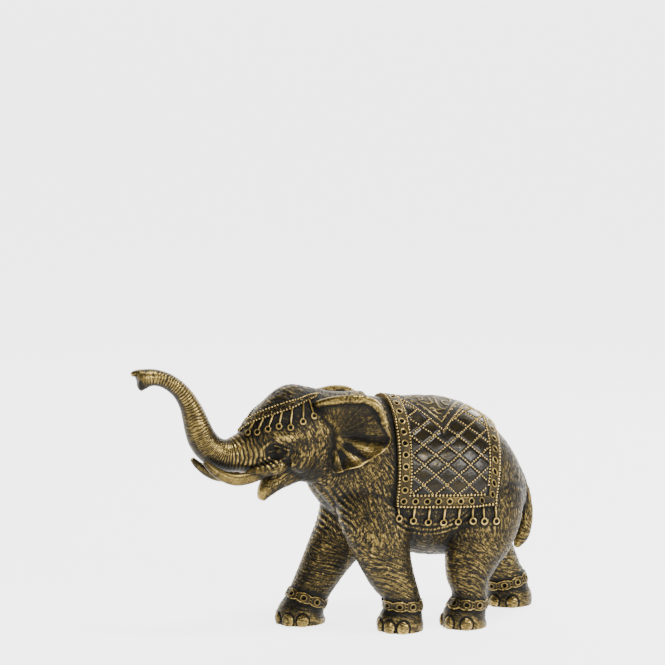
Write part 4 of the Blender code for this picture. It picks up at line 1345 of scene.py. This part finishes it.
def ear(name, mirror, swing):
    """A hollowed leaf, pleated in a fan along its lower edge, with a rolled rim along its upper one."""
    edge = np.array(catmull_rom(EAR_EDGE, 8))
    swung = np.clip(np.sin(math.pi * np.linspace(0, 1, len(edge))), 0, 1) ** 0.5
    edge = edge + np.array(swing)[None, :] * swung[:, None]
    grid, reach, below, fan = ear_leaf(edge, swing)
    normals = grid_normals(grid)
    if normals[EAR_ROWS // 2, EAR_COLUMNS // 2, 1] > 0:
        normals = -normals
    flat = grid.reshape(-1, 3)
    streak = below.ravel() / EAR_FAN_UNIT
    rough = 0.10 * noise(flat / 2.2, 31) + 0.07 * noise(flat / 1.1, 32)
    rough -= 0.14 * furrows(flat, streak, 2.2, 9, 33)
    thickness = EAR_THICKNESS / 2 * (1 - 0.72 * EAR_OUT ** 3 * smoothstep(0.5, 0.6, EAR_DOWN))
    front = grid + normals * (thickness + rough.reshape(thickness.shape))[:, :, None]
    back = grid - normals * thickness[:, :, None]
    places = np.concatenate([front.reshape(-1, 3), back.reshape(-1, 3)]) * (1, mirror, 1)
    obj = mesh_object(name, places, ear_faces())
    with edited(obj.data) as bm:
        ear_rim(bm, edge, mirror)
        bmesh.ops.recalc_face_normals(bm, faces=bm.faces)
    places = places_of(obj.data)
    rim = np.arange(len(places)) >= 2 * len(flat)
    rough = 0.14 * noise(places / 1.7, 34) + 0.12 * noise(places / 0.9, 35)
    move_to(obj.data, places + normals_of(obj.data) * (rough * rim)[:, None])
    shade = np.tile(ear_shade(reach, below, fan).ravel(), 2)
    store(obj.data, "flow", np.concatenate([np.tile(streak, 2), places[rim, 0]]))
    store(obj.data, "cross", places[:, 2] - 0.4 * places[:, 0])
    store(obj.data, "hatch", np.where(rim, 0.3, 0.4))
    store(obj.data, "shade", np.concatenate([shade, np.full(rim.sum(), EAR_RIM_SHADE)]))
    return obj


HEADBAND = (
    (-19.5, -12, 139.6), (-33.8, -16.2, 134.7), (-40.4, -15, 132.4), (-51.4, -9, 127.1), (-63.0, 0, 120.2),
)
HEADBAND_WIDTH = 7.6
HEADBAND_SHADE = 0.26
HEADBAND_EYELETS = 5.6         # from one eyelet of the headband to the next
HEADBAND_BEADS = 1.85          # from one bead to the next
HEADBAND_HOLE = 1.4            # depth of its eyelets
HEADBAND_HOLE_SHADE = 0.4
HEADBAND_BEAD = 0.62
# The headband's pendants on each side: share of the way to the brow, and how far back and down they hang
HEADBAND_PENDANTS = (
    (0.11, 1.0, 10.4), (0.195, -1.3, 11.2), (0.335, -1.1, 11.0), (0.45, -1.7, 8.5), (0.555, -2.8, 8.3),
    (0.665, -3.4, 8.3), (0.78, -3.0, 6.7),
)
BAND_ROWS = 241
BAND_COLUMNS = 16
STEM_LIFT = 0.5                # of a wire's middle over the skin
STEM_STEPS = 7
FRINGE_WIRE = (0.85, 0.55)     # radius at the hem and at the ring
HEAD_WIRE = (0.65, 0.5)
WIRE_SIDES = 10
RING_RADIUS = 1.75
HEAD_RING_RADIUS = 1.55
PENDANT_SHADE = 0.22
# The pendants along each hem: x, and how far the ring hangs below the hem
FRINGE = (
    (24.4, 6.6), (34.6, 8.4), (43.6, 9.2), (53.0, 9.4), (62.2, 9.0), (71.0, 8.6), (77.6, 8.6), (85.2, 8.6),
)


def nearest(tree, place):
    """The form's nearest place to this one, and the normal there."""
    spot, normal, _, _ = tree.find_nearest(Vector(place))
    return np.array(spot), np.array(normal)


def band_fabric(tree):
    """The head's surface under the headband, from behind one ear to the other."""
    left = np.array(catmull_rom(HEADBAND, 8))
    right = left[::-1] * (1, -1, 1)
    path = by_share(np.concatenate([left, right[1:]]), np.linspace(0, 1, BAND_ROWS))
    up = np.array((0.5, 0, 0.86)) * HEADBAND_WIDTH
    grid = np.array([
        [nearest(tree, spot + up * t)[0] for t in np.linspace(0, 1, BAND_COLUMNS)] for spot in path
    ])
    grid = smooth_grid(grid, 6)
    normals = grid_normals(grid)
    if normals[BAND_ROWS // 2, 0, 0] > 0:
        normals = -normals
    return Fabric(grid, normals, distances(grid[:, 0]), distances(grid, 1))


def headband(fabric):
    """The band, raised between its bead rows, with a line of eyelets."""
    length = fabric.along[-1]
    along = fabric.along[:, None]
    across = fabric.across
    wide = across[:, -1:]
    heights = 0.25 + 0.25 * smoothstep(0.9, 1.3, across) * (1 - smoothstep(wide - 1.3, wide - 0.9, across))
    shade = np.full(heights.shape, HEADBAND_SHADE)
    for spot in np.linspace(3, length - 3, round((length - 6) / HEADBAND_EYELETS) + 1):
        hole = 1 - smoothstep(0.75, 1.25, np.hypot(along - spot, across - wide / 2))
        heights -= HEADBAND_HOLE * hole
        shade += HEADBAND_HOLE_SHADE * hole
    band = slab("headband", fabric, heights)
    store(band.data, "shade", shade)
    return band


def headband_beads(fabric):
    """A row of beads along each edge of the headband."""
    length = fabric.along[-1]
    spots = []
    for across in (0.45, HEADBAND_WIDTH - 0.3):
        for along in np.linspace(0.6, length - 0.6, round(length / HEADBAND_BEADS)):
            spots.append((*fabric.spot(along, across, 0.5), HEADBAND_BEAD))
    return spots


def add_stem(bm, tree, hook, end, wire):
    """A wire laid on the skin from hook to end."""
    rows = []
    for t in np.linspace(0, 1, STEM_STEPS):
        spot, normal = nearest(tree, np.array(hook) * (1 - t) + np.array(end) * t)
        radius = wire[0] + (wire[1] - wire[0]) * t
        rows.append((*(spot + normal * STEM_LIFT), radius, radius))
    add_limb(bm, rows, sides=WIRE_SIDES, steps=3)


def pendants(tree, band):
    """The wires, and the spots of the rings, that hang under the cloth's hems and the headband."""
    wires = bmesh.new()
    rings = []
    for side, (x, drop) in itertools.product((-1, 1), FRINGE):
        hem = hem_height(x)
        inward = Vector((0, -side, 0))
        hook, _, _, _ = tree.ray_cast(Vector((x, side * 200, hem + 1)), inward)
        eye, _, _, _ = tree.ray_cast(Vector((x, side * 200, hem - drop)), inward)
        centre, normal = nearest(tree, eye)
        down = np.array(eye) - np.array(hook)
        down /= np.linalg.norm(down)
        add_stem(wires, tree, hook, centre - down * RING_RADIUS, FRINGE_WIRE)
        outward = normal + (0, 1.6 * side, 0)
        rings.append((centre + outward / np.linalg.norm(outward) * 0.6, outward, RING_RADIUS))
    half = band.along[-1] / 2
    for share, back, drop in HEADBAND_PENDANTS:
        for along in (share * half, (2 - share) * half):
            hook, _ = band.spot(along, 0.0, 0.3)
            centre, normal = nearest(tree, hook + (back, 0, -drop))
            down = centre - hook
            down /= np.linalg.norm(down)
            add_stem(wires, tree, hook, centre - down * HEAD_RING_RADIUS, HEAD_WIRE)
            rings.append((centre + normal * 0.45, normal, HEAD_RING_RADIUS))
    stems = built("pendant_stems", wires)
    store(stems.data, "shade", PENDANT_SHADE)
    return stems, rings


# Anklets are x, y and z of their middle and how far they tip, in degrees
ANKLETS = (
    (32.4, -18.0, 15.4, 3.0), (-14.0, 20.0, 14.6, 20.0), (73.4, -22.0, 14.0, 3.0), (118.6, 23.0, 15.2, -12.0),
)
ANKLET_HEIGHT = 6.4
ANKLET_SHADE = 0.16
ANKLET_RINGS = 9               # scallops, and eyelets, round an anklet
ANKLET_RISE = 1.3              # of the band over its scalloped edge
ANKLET_EYELET = 1.75           # radius of the lip round an eyelet
ANKLET_LIP = 0.35
ANKLET_HOLE = 1.6              # depth
ANKLET_STEPS = 301
ANKLET_LEVELS = 26


def anklet_fabric(tree, centre, turn):
    """The leg's surface under an anklet, all the way round."""
    grid = np.zeros((ANKLET_STEPS, ANKLET_LEVELS, 3))
    for step, angle in enumerate(np.linspace(0, 2 * math.pi, ANKLET_STEPS)):
        out = turn @ Vector((math.cos(angle), math.sin(angle), 0))
        for level, rise in enumerate(np.linspace(-0.5, 0.5, ANKLET_LEVELS)):
            start = centre + turn @ Vector((0, 0, rise * ANKLET_HEIGHT))
            grid[step, level] = tree.ray_cast(start, out)[0]
    ring = smooth_grid(grid[:-1].transpose(1, 0, 2), 8, looped=True).transpose(1, 0, 2)
    grid = np.concatenate([ring, ring[:1]])
    normals = grid_normals(np.concatenate([ring[-1:], grid, ring[1:2]]))[1:-1]
    if (normals * (grid - np.array(centre))).sum() < 0:
        normals = -normals
    return Fabric(grid, normals, np.linspace(0, 1, ANKLET_STEPS), distances(grid, 1))


def anklet(tree, name, x, y, z, tilt):
    """A band with scalloped edges and an eyelet in every scallop; its ends meet at the back."""
    fabric = anklet_fabric(tree, Vector((x, y, z)), Matrix.Rotation(math.radians(tilt), 3, "Y"))
    across = np.linspace(-0.5, 0.5, ANKLET_LEVELS)[None, :]
    phase = fabric.along[:, None] * ANKLET_RINGS
    to_ring = np.abs(phase - np.round(phase))
    half_wide = 0.33 + 0.13 * np.sqrt(np.clip(1 - (to_ring / 0.44) ** 2, 0, 1))
    inside = 1 - smoothstep(0, 0.05, np.abs(across) - half_wide)
    scallop = distances(fabric.grid[:, ANKLET_LEVELS // 2])[-1] / ANKLET_RINGS
    reach = np.hypot(to_ring * scallop, across * ANKLET_HEIGHT)
    heights = -0.5 + ANKLET_RISE * inside + ANKLET_LIP * bell(reach - ANKLET_EYELET, 0.4)
    heights -= ANKLET_HOLE * (1 - smoothstep(0.8, 1.2, reach))
    between = np.hypot((0.5 - to_ring) * scallop, (np.abs(across) - 0.14) * ANKLET_HEIGHT)
    heights -= 1.0 * (1 - smoothstep(0.35, 0.65, between)) * inside
    band = slab(name, fabric, heights)
    store(band.data, "shade", ANKLET_SHADE)
    return band


EYE_RADIUS = 1.9
EYE_SUNK = 1.7                 # how deep an eyeball's middle lies in its socket
EYE_SHADE = 0.2


def eyes(tree):
    """Two small eyeballs in their sockets."""
    bm = bmesh.new()
    for side in (-1, 1):
        spot, normal, _, _ = tree.find_nearest(Vector((EYE[0] + 0.6, side * 20, EYE[1] - 0.8)))
        turn = normal.to_track_quat("Z", "Y").to_matrix().to_4x4()
        place = Matrix.Translation(spot - normal * EYE_SUNK) @ turn
        bmesh.ops.create_uvsphere(bm, u_segments=24, v_segments=16, radius=EYE_RADIUS, matrix=place)
    pair = built("eyes", bm, turned=True)
    store(pair.data, "shade", EYE_SHADE)
    return pair


GROOVE_STEPS = 3
GROOVE_DEPTH = 0.10


def mark_grooves(mesh):
    """Stores how deep each point lies under the evened surface round it, as a share of a groove's depth."""
    edges = read(mesh.edges, "vertices", 2, np.int32)
    one, two = edges.T
    places = places_of(mesh)
    count = np.bincount(edges.ravel(), minlength=len(places))[:, None]
    even = places
    for _ in range(GROOVE_STEPS):
        total = [np.bincount(one, c[two], len(even)) + np.bincount(two, c[one], len(even)) for c in even.T]
        even = np.stack(total, axis=1) / np.maximum(count, 1)
    depth = ((even - places) * normals_of(mesh)).sum(axis=1) / UNIT / GROOVE_DEPTH
    store(mesh, "groove", np.clip(depth, -2, 2))


RECESS_CELL = 0.8
RECESS_REACH = 1.5
RECESS_MARGIN = 8              # round the figure's box
RECESS_LIFT = 0.8              # how far over the surface its surroundings are measured


def surface_density(pieces, low, shape):
    """How much surface lies near each cell of a box that starts at low, evened out over RECESS_REACH."""
    space = np.zeros(np.prod(shape))
    for piece in pieces:
        mesh = piece.data
        mesh.calc_loop_triangles()
        corners = read(mesh.loop_triangles, "vertices", 3, np.int32)
        area = read(mesh.loop_triangles, "area", 1)[:, 0]
        places = places_of(mesh)[corners].mean(axis=1) / UNIT
        from_neck = places[:, 0] + MIDDLE[0] - NECK_CUT
        toward = NECK_SIDES.get(piece.name, 0)
        area[from_neck * toward > 0] = 0
        cell = np.round((places - low) / RECESS_CELL).astype(int)
        space += np.bincount(np.ravel_multi_index(cell.T, shape), area / UNIT ** 2, len(space))
    spectrum = np.fft.rfftn(space.reshape(shape))
    for axis, size in enumerate(shape):
        waves = np.fft.rfftfreq(size) if axis == 2 else np.fft.fftfreq(size)
        fall = np.exp(-2 * (math.pi * waves * RECESS_REACH / RECESS_CELL) ** 2)
        spectrum *= fall.reshape([-1 if k == axis else 1 for k in range(3)])
    return np.fft.irfftn(spectrum, shape)


def mark_recesses(pieces):
    """Stores on every piece how much of the surface round each point is near it: high in a recess."""
    low, high = (np.array(corner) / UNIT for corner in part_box(NODE))
    low, high = low - RECESS_MARGIN, high + RECESS_MARGIN
    shape = np.ceil((high - low) / RECESS_CELL).astype(int) + 1
    space = surface_density(pieces, low, shape)
    over_flat = math.exp(-0.5 * (RECESS_LIFT / RECESS_REACH) ** 2)
    flat = RECESS_CELL ** 3 / (math.sqrt(2 * math.pi) * RECESS_REACH) * over_flat
    for piece in pieces:
        mesh = piece.data
        spots = (places_of(mesh) / UNIT + normals_of(mesh) * RECESS_LIFT - low) / RECESS_CELL
        cell = np.floor(spots).astype(int)
        crowd = mixed(space, cell, spots - cell) / flat
        store(mesh, "recess", crowd - np.median(crowd))


def plain_form():
    """The animal's plain form, which the ornament is laid on."""
    form = animal("form", FORM_VOXEL)
    with edited(form.data) as bm:
        tree = BVHTree.FromBMesh(bm)
    bpy.data.objects.remove(form)
    return tree


def cloth_and_beads(tree, balls, loops, finish):
    """The saddle cloth, its rows of beads and the eyelets in the diamond's frame."""
    fabric = cloth_fabric(tree)
    cloth = slab("saddle_cloth", fabric, cloth_heights(fabric))
    store(cloth.data, "shade", cloth_shade(fabric))
    store(cloth.data, "gloss", cloth_gloss(fabric))
    return [
        cloth,
        repeated("border_beads", balls, border_beads(fabric), finish),
        repeated("lattice_beads", balls, lattice_beads(fabric), finish, LATTICE_PATINA),
        repeated("diamond_beads", balls, diamond_row(fabric, *DIAMOND_BEADS), finish),
        repeated("diamond_eyelets", loops, diamond_row(fabric, *DIAMOND_EYELETS), finish),
    ]


def band_and_pendants(tree, balls, loops, finish):
    """The headband with its beads, and the pendants of the headband and the cloth."""
    fabric = band_fabric(tree)
    band = headband(fabric)
    beads = repeated("headband_beads", balls, headband_beads(fabric), finish, HEADBAND_PATINA)
    stems, rings = pendants(tree, fabric)
    return [band, beads, stems, repeated("pendant_rings", loops, rings, finish, PENDANT_SHADE)]


camera()
stage()
lights()
finish = brass()
tree = plain_form()
skins = [skin(name, SKIN_VOXELS[name], toward) for name, toward in NECK_SIDES.items()]
balls = bead_tree()
loops = ring_tree()
pieces = [
    *skins,
    *cloth_and_beads(tree, balls, loops, finish),
    tusks(),
    ear("left_ear", 1, (0, 0, 0)),
    ear("right_ear", -1, RIGHT_EAR_SWING),
    *band_and_pendants(tree, balls, loops, finish),
    *(anklet(tree, f"anklet_{k + 1}", *place) for k, place in enumerate(ANKLETS)),
    eyes(tree),
]
for piece in pieces:
    finish_piece(piece, finish)
mark_recesses(pieces)
for piece in pieces:
    mark_grooves(piece.data)
for piece in skins:
    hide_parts(NODE)
